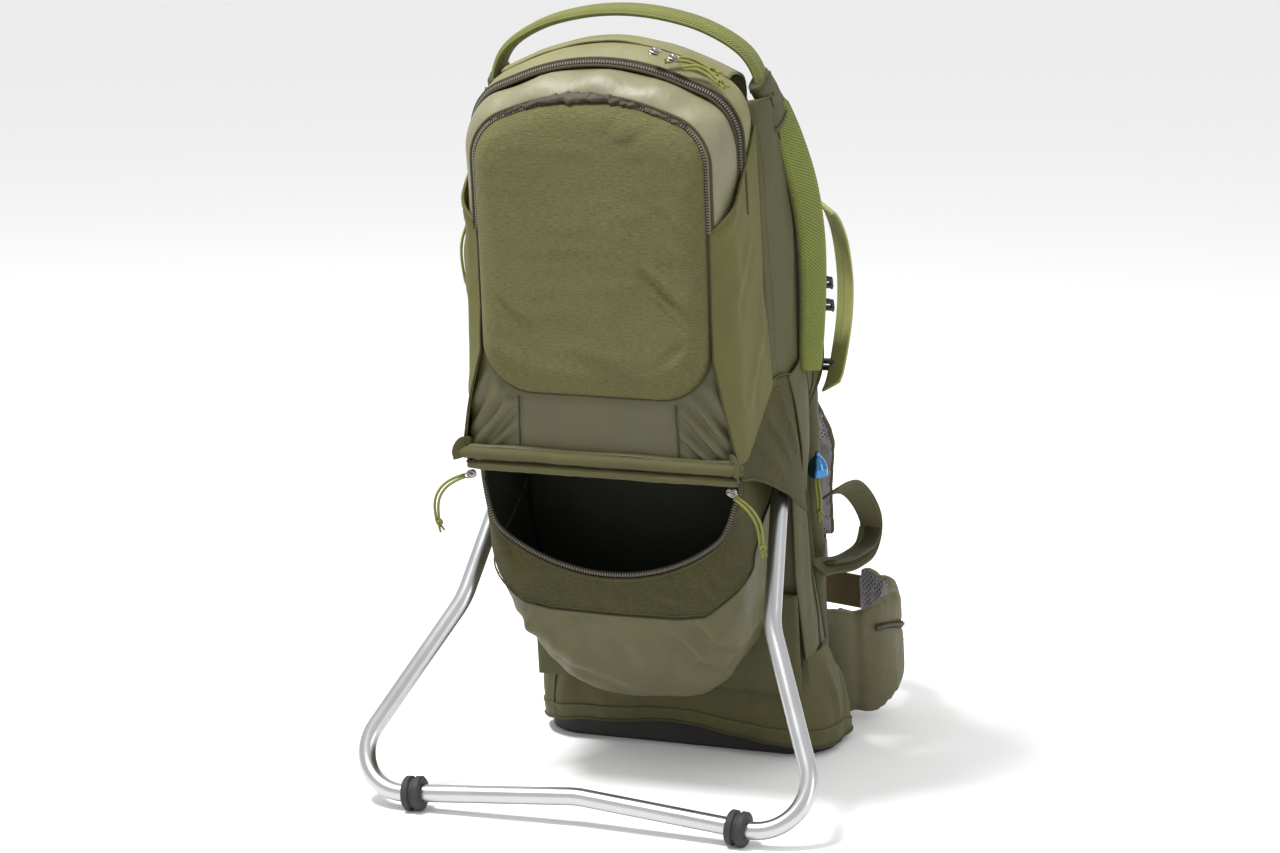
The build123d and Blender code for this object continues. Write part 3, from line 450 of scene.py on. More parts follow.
def puff(o, voxel=5.0, cap=8.0, pressure=4.0, frames=20, shape=None):
    """Remeshes a closed pad, lets it swell by cloth simulation, then presses seams in with shape()."""
    scene = bpy.context.scene
    remesh = o.modifiers.new("remesh", "REMESH")
    remesh.mode = "VOXEL"
    remesh.voxel_size = voxel / 1000
    graph = bpy.context.evaluated_depsgraph_get()
    swollen = bpy.data.meshes.new_from_object(o.evaluated_get(graph))
    o.modifiers.clear()
    o.data = swollen
    rest = np.array([v.co for v in swollen.vertices])
    moved = rest
    cloth = o.modifiers.new("cloth", "CLOTH")
    cloth.settings.use_pressure = True
    cloth.settings.uniform_pressure_force = pressure
    cloth.settings.effector_weights.gravity = 0
    cloth.settings.quality = 4
    for f in range(1, frames + 1):
        scene.frame_set(f)
    graph = bpy.context.evaluated_depsgraph_get()
    moved = np.array([v.co for v in o.evaluated_get(graph).data.vertices])
    o.modifiers.clear()
    scene.frame_set(1)
    move = moved - rest
    size = np.linalg.norm(move, axis=1, keepdims=True)
    moved = rest + move * np.minimum(1, cap / 1000 / np.maximum(size, 1e-9))
    if shape:
        normals = np.array([v.normal for v in swollen.vertices])
        moved = place(shape(body_frame(moved), body_frame(normals) / 1000))
    swollen.vertices.foreach_set("co", moved.astype(np.float32).ravel())
    swollen.update()
    swollen.polygons.foreach_set("use_smooth", [True] * len(swollen.polygons))
    box_weave(o)
    finer = o.modifiers.new("finer", "SUBSURF")
    finer.levels = finer.render_levels = 1
    return o


# ---------------------------------------------------------------- materials
class Look:
    """A Principled material built from nodes."""

    def __init__(self, name, roughness=0.8, metallic=0.0, sheen=0.0, specular=0.4):
        self.material = bpy.data.materials.new(name)
        self.material.use_nodes = True
        self.tree = self.material.node_tree
        self.shader = self.tree.nodes["Principled BSDF"]
        self.shader.inputs["Roughness"].default_value = roughness
        self.shader.inputs["Metallic"].default_value = metallic
        self.shader.inputs["Sheen Weight"].default_value = sheen
        self.shader.inputs["Specular IOR Level"].default_value = specular

    def node(self, kind, *inputs, **settings):
        made = self.tree.nodes.new(kind)
        for key, value in settings.items():
            setattr(made, key, value)
        for i, value in enumerate(inputs):
            self.feed(made.inputs[i], value)
        return made

    def feed(self, socket, value):
        if isinstance(value, bpy.types.NodeSocket):
            self.tree.links.new(value, socket)
        elif value is not None:
            socket.default_value = value

    def math(self, operation, a, b=None, c=None):
        return self.node("ShaderNodeMath", a, b, c, operation=operation).outputs[0]

    def noise(self, place, scale, detail=3.0, rough=0.55):
        made = self.node("ShaderNodeTexNoise")
        for key, value in (("Vector", place), ("Scale", scale), ("Detail", detail), ("Roughness", rough)):
            self.feed(made.inputs[key], value)
        return made.outputs["Fac"]

    def blend(self, share, a, b):
        made = self.node("ShaderNodeMix", data_type="RGBA")
        for key, value in (("Factor", share), ("A", a), ("B", b)):
            found = [s for s in made.inputs if s.name == key and s.enabled]
            self.feed(found[0], value)
        return [s for s in made.outputs if s.enabled][0]

    def remap(self, value, low, high, to_low, to_high):
        return self.node("ShaderNodeMapRange", value, low, high, to_low, to_high).outputs[0]

    def object_place(self):
        return self.node("ShaderNodeTexCoord").outputs["Object"]

    def weave_place(self):
        """The weave's u and v, in millimetres."""
        uv = self.node("ShaderNodeUVMap", uv_map="weave").outputs[0]
        scaled = self.node("ShaderNodeVectorMath", uv, (1000, 1000, 1000), operation="MULTIPLY").outputs[0]
        parts = self.node("ShaderNodeSeparateXYZ", scaled).outputs
        return scaled, parts[0], parts[1]

    def wave(self, value, period):
        """A sine from 0 to 1."""
        return self.math("MULTIPLY_ADD", self.math("SINE", self.math("MULTIPLY", value, 2 * pi / period)),
                         0.5, 0.5)

    def bump(self, height, distance, strength=1.0, over=None):
        made = self.node("ShaderNodeBump")
        self.feed(made.inputs["Normal"], over)
        for key, value in (("Height", height), ("Distance", distance), ("Strength", strength)):
            self.feed(made.inputs[key], value)
        self.feed(self.shader.inputs["Normal"], made.outputs[0])

    def colour(self, value):
        self.feed(self.shader.inputs["Base Color"], value)


def tint(colour, share):
    return tuple(min(1.0, c * share) for c in colour) + (1.0,)


CRUMPLE_SCALE = (34, 34, 20)
STUDIO_SHADE = 0.57  # darkens every cloth colour, so that it looks right under this studio light


def fabric(name, colour, weave="plain", thread=0.9, contrast=0.25, mottle=0.18, roughness=0.82, sheen=0.25,
           relief=0.12, grid=0.0, specular=0.3):
    """Woven, knitted or webbed cloth.  thread is the pitch in millimetres, grid the ripstop cell."""
    colour = (colour[0] * STUDIO_SHADE, colour[1] * STUDIO_SHADE, colour[2] * STUDIO_SHADE * 0.8)
    look = Look(name, roughness, sheen=0.35 * sheen, specular=specular)
    flat, u, v = look.weave_place()
    if weave == "twill":
        threads = look.wave(look.math("ADD", u, v), thread)
    elif weave == "rib":
        threads = look.wave(u, thread)
    elif weave == "webbing":
        folded = look.math("PINGPONG", v, 2.6 * thread)
        threads = look.wave(look.math("ADD", u, folded), thread)
    else:
        threads = look.math("MULTIPLY", look.wave(u, thread), look.wave(v, thread))
        threads = look.math("ADD", threads,
                            look.math("MULTIPLY", look.wave(look.math("ADD", u, thread / 2), thread),
                                      look.wave(look.math("ADD", v, thread / 2), thread)))
    height = threads
    if grid:
        lines = [look.math("GREATER_THAN", look.wave(axis, grid), 0.93) for axis in (u, v)]
        ripstop = look.math("MAXIMUM", lines[0], lines[1])
        drawn = look.node("ShaderNodeVectorMath", flat, (0.22, 1.3, 1), operation="MULTIPLY").outputs[0]
        crinkle = look.remap(look.noise(drawn, 0.8, 4.0, 0.7), 0.3, 0.7, -1.2, 1.5)
        height = look.math("ADD", threads, look.math("MULTIPLY", ripstop, 0.25))
        height = look.math("ADD", height, crinkle)
    grain = look.noise(flat, 0.55, 4.0, 0.7)
    height = look.math("ADD", height, look.math("MULTIPLY", grain, 0.8))
    mottled = look.noise(look.object_place(), 22.0, 3.0, 0.6)
    shade = look.blend(look.remap(height, 0.2, 1.9, 0.0, 1.0), tint(colour, 1 - contrast),
                       tint(colour, 1 + contrast))
    worn = look.remap(mottled, 0.3, 0.7, 1 - mottle, 1 + mottle)
    look.colour(look.node("ShaderNodeVectorMath", shade, worn, operation="MULTIPLY").outputs[0])
    look.feed(look.shader.inputs["Roughness"],
              look.remap(mottled, 0.3, 0.7, roughness - 0.06, roughness + 0.06))
    look.shader.inputs["Sheen Roughness"].default_value = 0.4
    look.shader.inputs["Sheen Tint"].default_value = tint(colour, 3.0)
    crumpled = look.node("ShaderNodeVectorMath", look.object_place(), CRUMPLE_SCALE, operation="MULTIPLY")
    folds = look.node("ShaderNodeBump")
    for key, value in (("Height", look.noise(crumpled.outputs[0], 1.0, 3.0, 0.5)), ("Distance", 0.006),
                       ("Strength", 0.5)):
        look.feed(folds.inputs[key], value)
    look.bump(height, relief / 1000, over=folds.outputs[0])
    return look.material


def spacer_mesh(name, colour, hole_colour, pitch=3.2, round_holes=0.62):
    """Knitted spacer mesh with rows of dark holes."""
    look = Look(name, 0.85, sheen=0.3, specular=0.2)
    flat, u, v = look.weave_place()
    raised = look.math("ADD", look.math("MULTIPLY", look.wave(u, pitch), look.wave(v, pitch * 1.2)),
                       look.math("MULTIPLY", look.wave(look.math("ADD", u, pitch / 2), pitch),
                                 look.wave(look.math("ADD", v, pitch * 0.6), pitch * 1.2)))
    holes = look.remap(raised, round_holes - 0.12, round_holes + 0.12, 0.0, 1.0)
    fuzz = look.noise(flat, 0.9, 3.0)
    lit = look.blend(fuzz, tint(colour, 0.8), tint(colour, 1.2))
    look.colour(look.blend(holes, lit, tint(hole_colour, 1.0)))
    look.bump(look.math("SUBTRACT", 1.0, holes), 0.0006)
    return look.material


def moulded(name, colour, roughness=0.45, grain=0.05, scale=900.0):
    """Moulded plastic or rubber with a fine grain and slightly scuffed high spots."""
    look = Look(name, roughness)
    spots = look.object_place()
    fine = look.noise(spots, scale, 2.0)
    broad = look.noise(spots, 30.0, 3.0)
    look.colour(look.blend(broad, tint(colour, 0.75), tint(colour, 1.35)))
    look.feed(look.shader.inputs["Roughness"],
              look.remap(broad, 0.3, 0.7, roughness - 0.08, roughness + 0.12))
    look.bump(fine, grain / 1000)
    return look.material


def metal(name, colour, roughness=0.25, brushed=0.0, coat=0.0):
    """Satin metal with faint handling marks."""
    look = Look(name, roughness, metallic=1.0)
    spots = look.object_place()
    marks = look.noise(spots, 26.0, 2.0, 0.5)
    fine = look.noise(spots, 1400.0, 2.0)
    look.colour(look.blend(marks, tint(colour, 0.93), tint(colour, 1.04)))
    look.feed(look.shader.inputs["Roughness"],
              look.remap(marks, 0.25, 0.75, roughness - 0.03, roughness + 0.05))
    look.shader.inputs["Coat Weight"].default_value = coat
    look.bump(fine, brushed / 1000)
    return look.material


pocket_cloth = fabric("pocket_ripstop", (0.15, 0.143, 0.048), "plain", 1.3, 0.3, 0.07, 0.72, 0.35, 0.22,
                      grid=3.9, specular=0.4)
patch_cloth = fabric("patch_ripstop", (0.082, 0.076, 0.026), "plain", 1.2, 0.4, 0.18, 0.82, 0.3, 0.2,
                     grid=3.4)
olive_cloth = fabric("olive_nylon", (0.128, 0.118, 0.052), "plain", 0.7, 0.12, 0.1, 0.6, 0.35, 0.06,
                     specular=0.45)
cap_cloth = fabric("cap_nylon", (0.27, 0.255, 0.14), "plain", 0.8, 0.14, 0.1, 0.62, 0.4, 0.06, specular=0.45)
greige_cloth = fabric("greige_nylon", (0.265, 0.25, 0.172), "plain", 0.7, 0.1, 0.08, 0.5, 0.4, 0.05,
                      specular=0.55)
band_cloth = fabric("band_nylon", (0.118, 0.11, 0.05), "plain", 0.7, 0.1, 0.08, 0.55, 0.35, 0.05,
                    specular=0.5)
stretch_cloth = fabric("stretch_knit", (0.15, 0.142, 0.048), "rib", 0.9, 0.12, 0.08, 0.72, 0.4, 0.08)
side_cloth = fabric("side_nylon", (0.105, 0.1, 0.048), "plain", 0.8, 0.12, 0.12, 0.66, 0.3, 0.06)
skirt_fabric = fabric("skirt_nylon", (0.11, 0.102, 0.042), "plain", 0.8, 0.14, 0.14, 0.68, 0.3, 0.08)
# near-black lining: painted shade, which stands in for the shade inside the lower pocket
pocket_shade_lining = fabric("lining", (0.018, 0.019, 0.012), "plain", 0.9, 0.2, 0.1, 0.75, 0.1, 0.08)
lime_cloth = fabric("lime_padding", (0.235, 0.275, 0.07), "twill", 3.4, 0.5, 0.08, 0.8, 0.35, 0.5)
handle_cloth = fabric("lime_handle", (0.225, 0.24, 0.085), "twill", 3.0, 0.5, 0.08, 0.8, 0.35, 0.5)
lime_plain = fabric("lime_side", (0.225, 0.25, 0.085), "plain", 0.8, 0.15, 0.08, 0.8, 0.35, 0.1)
lime_webbing = fabric("lime_webbing", (0.46, 0.475, 0.19), "webbing", 1.5, 0.16, 0.06, 0.75, 0.3, 0.2)
olive_webbing = fabric("olive_webbing", (0.11, 0.1, 0.046), "webbing", 1.5, 0.25, 0.08, 0.78, 0.3, 0.25)
golden_webbing = fabric("golden_webbing", (0.17, 0.125, 0.045), "webbing", 1.4, 0.25, 0.1, 0.7, 0.35, 0.25)
black_webbing = fabric("black_webbing", (0.016, 0.016, 0.015), "webbing", 1.4, 0.3, 0.1, 0.7, 0.2, 0.25)
binding_cloth = fabric("binding", (0.075, 0.068, 0.034), "rib", 1.1, 0.2, 0.08, 0.8, 0.2, 0.12)
grey_cloth = fabric("grey_cloth", (0.36, 0.35, 0.44), "plain", 0.8, 0.12, 0.1, 0.7, 0.3, 0.06)
soft_cloth = fabric("soft_seat", (0.24, 0.23, 0.29), "plain", 1.0, 0.14, 0.12, 0.9, 0.6, 0.1)
thread = fabric("thread", (0.21, 0.2, 0.105), "twill", 0.5, 0.2, 0.05, 0.7, 0.3, 0.05)
lime_thread = fabric("lime_thread", (0.42, 0.45, 0.16), "twill", 0.5, 0.2, 0.05, 0.7, 0.3, 0.05)
cord_cloth = fabric("pull_cord", (0.28, 0.29, 0.075), "twill", 1.3, 0.35, 0.05, 0.7, 0.3, 0.2)
zip_tape = fabric("zip_tape", (0.05, 0.042, 0.034), "rib", 0.8, 0.2, 0.1, 0.8, 0.2, 0.1)
zip_flap_cloth = fabric("zip_flap", (0.085, 0.066, 0.05), "rib", 0.8, 0.3, 0.2, 0.6, 0.3, 0.15)
zip_coil = moulded("zip_coil", (0.1, 0.085, 0.07), 0.35, 0.02)
grey_mesh = spacer_mesh("grey_spacer_mesh", (0.24, 0.225, 0.235), (0.035, 0.034, 0.036), 4.4)
pad_mesh = spacer_mesh("pad_spacer_mesh", (0.15, 0.145, 0.145), (0.02, 0.02, 0.02), 3.4)
plastic = moulded("black_plastic", (0.02, 0.02, 0.022), 0.42)
panel_plastic = moulded("framesheet_plastic", (0.028, 0.028, 0.03), 0.5, 0.08, 500.0)
boot_rubber = moulded("boot_rubber", (0.017, 0.0155, 0.0145), 0.72, 0.12, 700.0)
foot_rubber = moulded("foot_rubber", (0.02, 0.02, 0.021), 0.6, 0.08)
button_plastic = moulded("button_plastic", (0.26, 0.05, 0.02), 0.4)
aluminium = metal("satin_aluminium", (0.47, 0.473, 0.478), 0.3, 0.003)
steel = metal("zinc_steel", (0.6, 0.6, 0.6), 0.3, 0.01)
slider_metal = metal("slider_metal", (0.3, 0.28, 0.25), 0.36, 0.01)
blue_metal = metal("blue_anodised", (0.04, 0.16, 0.36), 0.22, 0.01, coat=0.3)

CAD_LOOKS = {
    "main_frame_tube": aluminium, "cockpit_frame_tubes": aluminium, "kickstand_tube": aluminium,
    "pivot_hubs": plastic, "kickstand_lugs": plastic, "kickstand_feet": foot_rubber, "base_boot": boot_rubber,
    "pivot_pins": steel, "deploy_springs": steel, "frame_rivets": steel, "framesheet": panel_plastic,
    "lock_button_left": button_plastic, "lock_button_right": button_plastic, "yoke_rail": panel_plastic,
    "yoke_slider": plastic, "ladder_locks": plastic, "hip_buckle_socket": plastic, "hip_buckle_plug": plastic,
    "harness_buckle": plastic, "bell_toggle": blue_metal,
}
ROUNDED = ("pivot_hubs", "yoke_slider", "ladder_locks", "hip_buckle_socket", "hip_buckle_plug",
           "harness_buckle", "base_boot")
for node, material in CAD_LOOKS.items():
    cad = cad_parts[node]
    for material_slot in cad.material_slots:
        material_slot.material = material
    if node in ROUNDED:
        softened = cad.modifiers.new("softened", "BEVEL")
        softened.width = 0.0008
        softened.segments = 2
        softened.limit_method = "ANGLE"
        softened.angle_limit = radians(40)
        softened.harden_normals = False


# ---------------------------------------------------------------- pull cords
CORD_RADIUS = 1.3
# Each route goes from its slider or toggle to its knot, in the body frame.
CORD_ROUTES = {
    "main_zip_cord": ([(-129, -167, 566), (-131, -169, 553), (-136, -173, 538), (-136, -176, 519),
                       (-134, -178, 503)], "main_slider"),
    "top_zip_cord_outer": ([(57, -160, 705), (64, -154, 706), (74, -149, 705), (85, -147, 700.5),
                            (95, -149, 694.5)], "top_sliders"),
    "top_zip_cord_inner": ([(73, -161, 699), (80, -157, 700.5), (90, -155, 698.5), (99, -157, 693.5),
                            (107, -162, 687.5)], "top_sliders"),
    "lower_zip_cord_left": ([(-127, -236, 339), (-136, -239, 336), (-147, -242, 327), (-153, -243, 313),
                             (-152, -243, 297)], "lower_slider_left"),
    "lower_zip_cord_right": ([(127, -236, 339), (136, -239, 336), (147, -242, 327), (153, -243, 313),
                              (152, -243, 297)], "lower_slider_right"),
    "toggle_cord": ([(142, -46, 288.9), (142.4, -46.6, 280), (143.8, -46.4, 270), (143.4, -45.2, 260),
                     (142.2, -45.4, 252)], "frame"),
}


def cord_curve(name, route):
    """The smooth line of a cord through its route's control points."""
    line = bpy.data.curves.new(name, "CURVE")
    line.dimensions = "3D"
    spline = line.splines.new("NURBS")
    spline.points.add(len(route) - 1)
    for point, spot in zip(spline.points, place(route)):
        point.co = (*spot, 1)
    spline.order_u = 3
    spline.use_endpoint_u = True
    spline.resolution_u = 12
    bare = bpy.data.objects.new(name + "_bare", line.copy())
    centre = np.array([v.co for v in bpy.data.meshes.new_from_object(bare).vertices])
    bpy.data.objects.remove(bare)
    line.bevel_depth = CORD_RADIUS / 1000
    line.bevel_resolution = 4
    line.use_fill_caps = True
    o = bpy.data.objects.new(name, line)
    bpy.context.scene.collection.objects.link(o)
    line.materials.append(cord_cloth)
    return o, centre


def knot(name, end, ahead, body):
    """An overhand knot with two short tails."""
    ahead = unit(ahead)
    _, side, up = turn_frames(np.array([end, end + ahead]), (0.3, 1, 0.2))
    side, up = side[0], up[0]
    turns = np.linspace(0, 2 * pi, 40)
    line = np.array([end + side * (2.0 * cos(t) + 0.5 * cos(3 * t)) + up * 2.0 * sin(t) + ahead * 1.5
                     * sin(2 * t) for t in turns])
    tie = tube_piece(f"{name}_knot", line, 1.35, cord_cloth, body, "cord", sides=8)
    for k, (lean_a, lean_b) in enumerate(((0.35, 0.2), (-0.3, 0.25))):
        tail = curve_through([end, end + ahead * 4 + side * lean_a * 4,
                              end + ahead * 9 + side * lean_a * 9 + up * lean_b * 9], 10)
        tube_piece(f"{name}_tail_{k}", tail, np.linspace(1.2, 1.0, 10), cord_cloth, body, "cord", sides=8)
    return tie


for name, (route, body) in CORD_ROUTES.items():
    curve, centre = cord_curve(f"{name}_line", route)
    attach(curve, body)
    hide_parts(name)
    centre = body_frame(centre)
    knot(name, centre[-1], centre[-1] - centre[-2], body)
    strand = spread(centre, 40)
    apart = (2.3 + 1.3 * np.sin(pi * np.linspace(0, 1, 40)))[:, None]
    aside = unit(np.cross(np.gradient(strand, axis=0), (0.3, -0.8, 0.5)))
    tube_piece(f"{name}_strand", strand + aside * apart, CORD_RADIUS, cord_cloth, body, "cord",
               start=(1, 0.1, 0.3))


# ---------------------------------------------------------------- storage bag
bag_low, bag_high = leaning("storage_rear")
pouch_low, pouch_high = leaning("lower_pocket")
BAG_HALF = bag_high[0]
BAG_BACK = -128.0
POCKET_HALF = leaning("front_pocket")[1][0] + 1
ZIP_BACK = -166.0
BAG_BASE = bag_low[2]
FORWARD = np.array((0, -1, 0), float)


def crown_height(x):
    """Top of the rear bag above each place across it."""
    return 717 - 40 * (np.abs(np.asarray(x)) / BAG_HALF) ** 1.8


def rim_back(up):
    """Where the front pocket's seam lies, which comes forward towards the band below it."""
    return np.interp(up, [415, 470, 560, 640, 690], [-224, -217, -211, -206, -199])


def morph(first, last, share):
    """An outline part of the way from one to another."""
    return first + (last - first) * share


zip_outline = bag_outline(BAG_HALF + 0.5, BAG_BASE, 668, 711, 46, 8)
rear_outline = bag_outline(BAG_HALF, BAG_BASE, 676, 722, 46, 8)
gusset_outline = bag_outline(BAG_HALF - 1, BAG_BASE, 664, 707, 45, 8)
pocket_outline = bag_outline(POCKET_HALF, 419, 652, 684, 40, 46)


def as_grid(loops, backs):
    """Front outlines, each at its place along BACK, as one grid."""
    return np.array([np.stack([loop[:, 0], np.broadcast_to(back, len(loop)), loop[:, 1]], axis=-1)
                     for loop, back in zip(loops, backs)])


def spread_out(grid, amount):
    """Moves each loop of a grid away from the bag's middle line, square to its own outline."""
    around = np.roll(grid, -1, 1) - np.roll(grid, 1, 1)
    away = np.stack([around[..., 2], np.zeros(grid.shape[:2]), -around[..., 0]], axis=-1)
    away /= np.maximum(np.linalg.norm(away, axis=-1, keepdims=True), 1e-9)
    return grid + away * np.asarray(amount)[..., None]


# rear compartment: from the main zip back to the cockpit
steps = np.linspace(0, 1, 18)
loops = [morph(zip_outline, rear_outline, sin(pi * t / 2)) for t in steps]
rear_grid = as_grid(loops, ZIP_BACK + 2 + 34 * steps)
swell = 2.2 * np.sin(pi * steps)[:, None] + 0.9 * ripple(rear_grid, 38, 1)
rear_grid = spread_out(rear_grid, swell - 1.5 * (1 - ease(0, 0.12, steps))[:, None])
closing = [np.array([0, 560]) + (rear_outline - [0, 560]) * s for s in (0.985, 0.95, 0.85, 0.7, 0.45, 0.2)]
closing_grid = as_grid(closing, [-129.5, -128.4, -127.5, -127, -126.5, -126.2])
grid_piece("storage_rear_shell", np.concatenate([rear_grid, closing_grid]), cap_cloth,
           nodes=("storage_rear",), wrap=True, caps="last", flat=True)

# hood over the storage hoop
across_hood = np.linspace(-106, 106, 60)
top = crown_height(across_hood)
hood_profile = [(-133, -2.0), (-122, -0.5), (-110, -3), (-99, -7), (-91, -14), (-88.5, -25), (-90, -34)]
hood_rows = []
for back, drop in curve_through(hood_profile, 24):
    hood_rows.append(np.stack([across_hood, np.full(60, back), top + drop], axis=-1))
hood_grid = np.array(hood_rows)
hood_grid[..., 2] += 0.8 * ripple(hood_grid, 30, 5)
grid_piece("storage_hood", hood_grid, cap_cloth, out=(0, 0, 1), thick=2.0)
tube_piece("storage_hood_binding", hood_grid[-1] + [0, 0.6, 0.4], 1.5, binding_cloth)

# front compartment: greige gusset between the main zip and the front pocket's zip
steps = np.linspace(0, 1, 22)
loops = [morph(gusset_outline, pocket_outline, 1 - cos(pi * t / 2)) for t in steps]
gusset_grid = np.array([np.stack([loop[:, 0],
                                  ZIP_BACK - 2 + (rim_back(loop[:, 1]) - ZIP_BACK + 2) * sin(pi * t / 2),
                                  loop[:, 1]], axis=-1) for loop, t in zip(loops, steps)])
on_top = ease(640, 690, gusset_grid[..., 2])
swell = (1.8 * np.sin(pi * steps)[:, None] + 1.1 * ripple(gusset_grid, 30, 9) + on_top * 2.4
         * np.sin(gusset_grid[..., 0] / 9.0 + 2 * steps[:, None]) * np.sin(pi * steps)[:, None])
shown = ease(500, 560, gusset_grid[..., 2])
gusset_grid = spread_out(gusset_grid, swell * shown - 3.5 * (1 - shown))
gusset_grid[..., 1] += 4.0 * (1 - shown) * steps[:, None]
grid_piece("storage_front_gusset", gusset_grid, greige_cloth, nodes=("storage_front",),
           wrap=True, flat=True)

# front pocket: a soft panel that stands proud of its seam
FACE_UP = [420, 445, 640, 684]
FACE_BACK = [-235, -237.5, -223, -214]
pocket_middle = np.array([0, 555.0])
levels = np.concatenate([np.linspace(0, 0.3, 16), np.linspace(0.3, 1, 30)[1:]])
rows = []
for level in levels:
    loop = pocket_outline + (pocket_middle - pocket_outline) * level * 0.985
    inset = np.linalg.norm(loop - pocket_outline, axis=1)
    round_off = np.sqrt(1 - (1 - np.clip(inset / 24, 0, 1)) ** 2)
    rim = rim_back(loop[:, 1])
    face = np.interp(loop[:, 1], FACE_UP, FACE_BACK)
    rows.append(np.stack([loop[:, 0], rim + (face - rim) * round_off, loop[:, 1]], axis=-1))
pocket_grid = np.array(rows)
p, q = pocket_grid[..., 0], pocket_grid[..., 2]
inside = ease(0.0, 0.14, levels)[:, None]
lift = (2.4 * ripple(pocket_grid, 60, 3) + 0.7 * ripple(pocket_grid, 16, 4, (1.6, 1, 0.7))
        + creases(p, q, ((52, 545), (98, 500), 4.5, 3.2), ((60, 520), (92, 492), 3.5, 2.0),
                  ((30, 650), (54, 668), 5, 3.0), ((14, 655), (24, 672), 4, 2.6),
                  ((-88, 520), (-52, 486), 4, 1.6), ((70, 600), (100, 560), 6, 1.3),
                  ((-95, 640), (-70, 655), 5, 1.4), ((-96, 470), (-60, 448), 6, 2.4),
                  ((96, 470), (66, 446), 5, 2.2), ((-20, 470), (40, 452), 9, 1.8)))
pocket_grid[..., 1] -= lift * inside
grid_piece("front_pocket_panel", pocket_grid, pocket_cloth, "frame", "olive_ripstop", nodes=("front_pocket",),
           wrap=True, caps="last", flat=True)


def outward(loop):
    """Unit direction out of a closed front outline, at each point, in the body frame."""
    around = np.roll(loop, -1, 0) - np.roll(loop, 1, 0)
    away = np.stack([around[:, 1], np.zeros(len(loop)), -around[:, 0]], axis=-1)
    return unit(away)


# main zip and pocket zip, with a piped edge on both sides of each
start_main = int(np.argmin(np.hypot(zip_outline[:, 0] - BAG_HALF, zip_outline[:, 1] - 575)))
order = np.roll(np.arange(len(zip_outline)), -start_main)
stop = int(np.argmin(np.hypot(*(zip_outline[order] - [-BAG_HALF, 450]).T)))
main_run = order[:stop + 1]
zip_line = np.stack([zip_outline[:, 0], np.full(len(zip_outline), ZIP_BACK), zip_outline[:, 1]], axis=-1)
zip_out = outward(zip_outline)
zip_pieces("main_zip", spread((zip_line + zip_out * 0.4)[main_run], 180),
           spread((zip_out * 0.72 + FORWARD * 0.69)[main_run], 180), "frame", width=8.0, nodes=("zip_tapes",))
for shift, name in ((4.2, "rear"), (-4.2, "front")):
    edge = (zip_line + zip_out * (0.9 + 0.5 * shift))[main_run] + [0, shift, 0]
    tube_piece(f"main_zip_piping_{name}", spread(edge, 160), 1.5, binding_cloth)

pocket_line = np.stack([pocket_outline[:, 0], rim_back(pocket_outline[:, 1]), pocket_outline[:, 1]], axis=-1)
pocket_out = outward(pocket_outline)
start_pocket = int(np.argmin(np.hypot(pocket_outline[:, 0] - POCKET_HALF, pocket_outline[:, 1] - 568)))
order = np.roll(np.arange(len(pocket_outline)), -start_pocket)
stop = int(np.argmin(np.hypot(*(pocket_outline[order] - [-POCKET_HALF, 560]).T)))
zip_run, seam_run = order[:stop + 1], np.append(order[stop:], order[0])
tilted = pocket_out * 0.55 + FORWARD * 0.83
zip_pieces("pocket_zip", spread((pocket_line + pocket_out * 0.5)[zip_run], 150), spread(tilted[zip_run], 150),
           "frame", width=6.0)
edge = (pocket_line + pocket_out * 4.6 + FORWARD * -1.6)[zip_run]
tube_piece("pocket_zip_piping", spread(edge, 150), 1.5, binding_cloth)
along_top = np.array([i for i in zip_run if pocket_outline[i, 1] > 655])
crumple = spread((pocket_line + pocket_out * 2.6 + FORWARD * -0.6)[along_top], 150)
share = np.linspace(0, 1, 150)
size = 0.3 + 0.9 * np.exp(-((share - 0.55) / 0.22) ** 2)
section = np.array([ring(6.4 * f, 16, 0.6) for f in size])
crumple_grid = swept(crumple, section, (0, 1, 0))
crumple_grid = crumple_grid + (2.4 * ripple(crumple_grid, 8, 8, (0.6, 1, 1)) + 0.9
                               * ripple(crumple_grid, 16, 18))[..., None]
grid_piece("pocket_zip_flap", crumple_grid, zip_flap_cloth, "frame", "zip_tape", wrap=True, caps="both")
tube_piece("pocket_seam_piping", spread((pocket_line + FORWARD * 0.6)[seam_run], 130), 1.3, binding_cloth)


# ---------------------------------------------------------------- band over the lower pocket
BAND_BASE = 352.0
BAND_CROWN = 500.0


def bag_plan(half, front, corner, count=120):
    """Plan of the bag at one height, from its left rear corner round the front to the right rear one."""
    return spread(bend_path([(-half, BAG_BACK), (-half, front), (half, front), (half, BAG_BACK)], corner, 12,
                            20), count)


rows = []
for up in np.linspace(BAND_CROWN, BAND_BASE, 46):
    half = np.interp(up, [352, 372, 415, 470, 500], [127.5, 127, 123, 121, 120.5])
    front = np.interp(up, [352, 374, 412, 440, 470, 500], [-228, -228, -226, -219, -214, -209])
    plan = bag_plan(half, front, 20, 150)
    rows.append(raised(plan, up))
band_grid = np.array(rows)
x, up = np.abs(band_grid[..., 0]), band_grid[..., 2]
gusset = ease(70, 78, x) * ease(352, 360, up)
folds = creases(x, up, ((76, 414), (124, 362), 4.0, 4.4), ((88, 424), (128, 372), 3.6, 3.6),
                ((74, 392), (112, 358), 3.2, 3.2), ((102, 436), (131, 384), 4.2, 3.0),
                ((80, 372), (100, 357), 2.6, 1.8))
band_normals = grid_normals(band_grid)
if band_normals[..., 1].mean() > 0:
    band_normals = -band_normals
band_grid = band_grid + band_normals * (gusset * folds * 1.1 + 0.8 * ripple(band_grid, 40, 12))[..., None]
grid_piece("pocket_band_cloth", band_grid, band_cloth, nodes=("pocket_band",), out=FORWARD,
           thick=1.6)
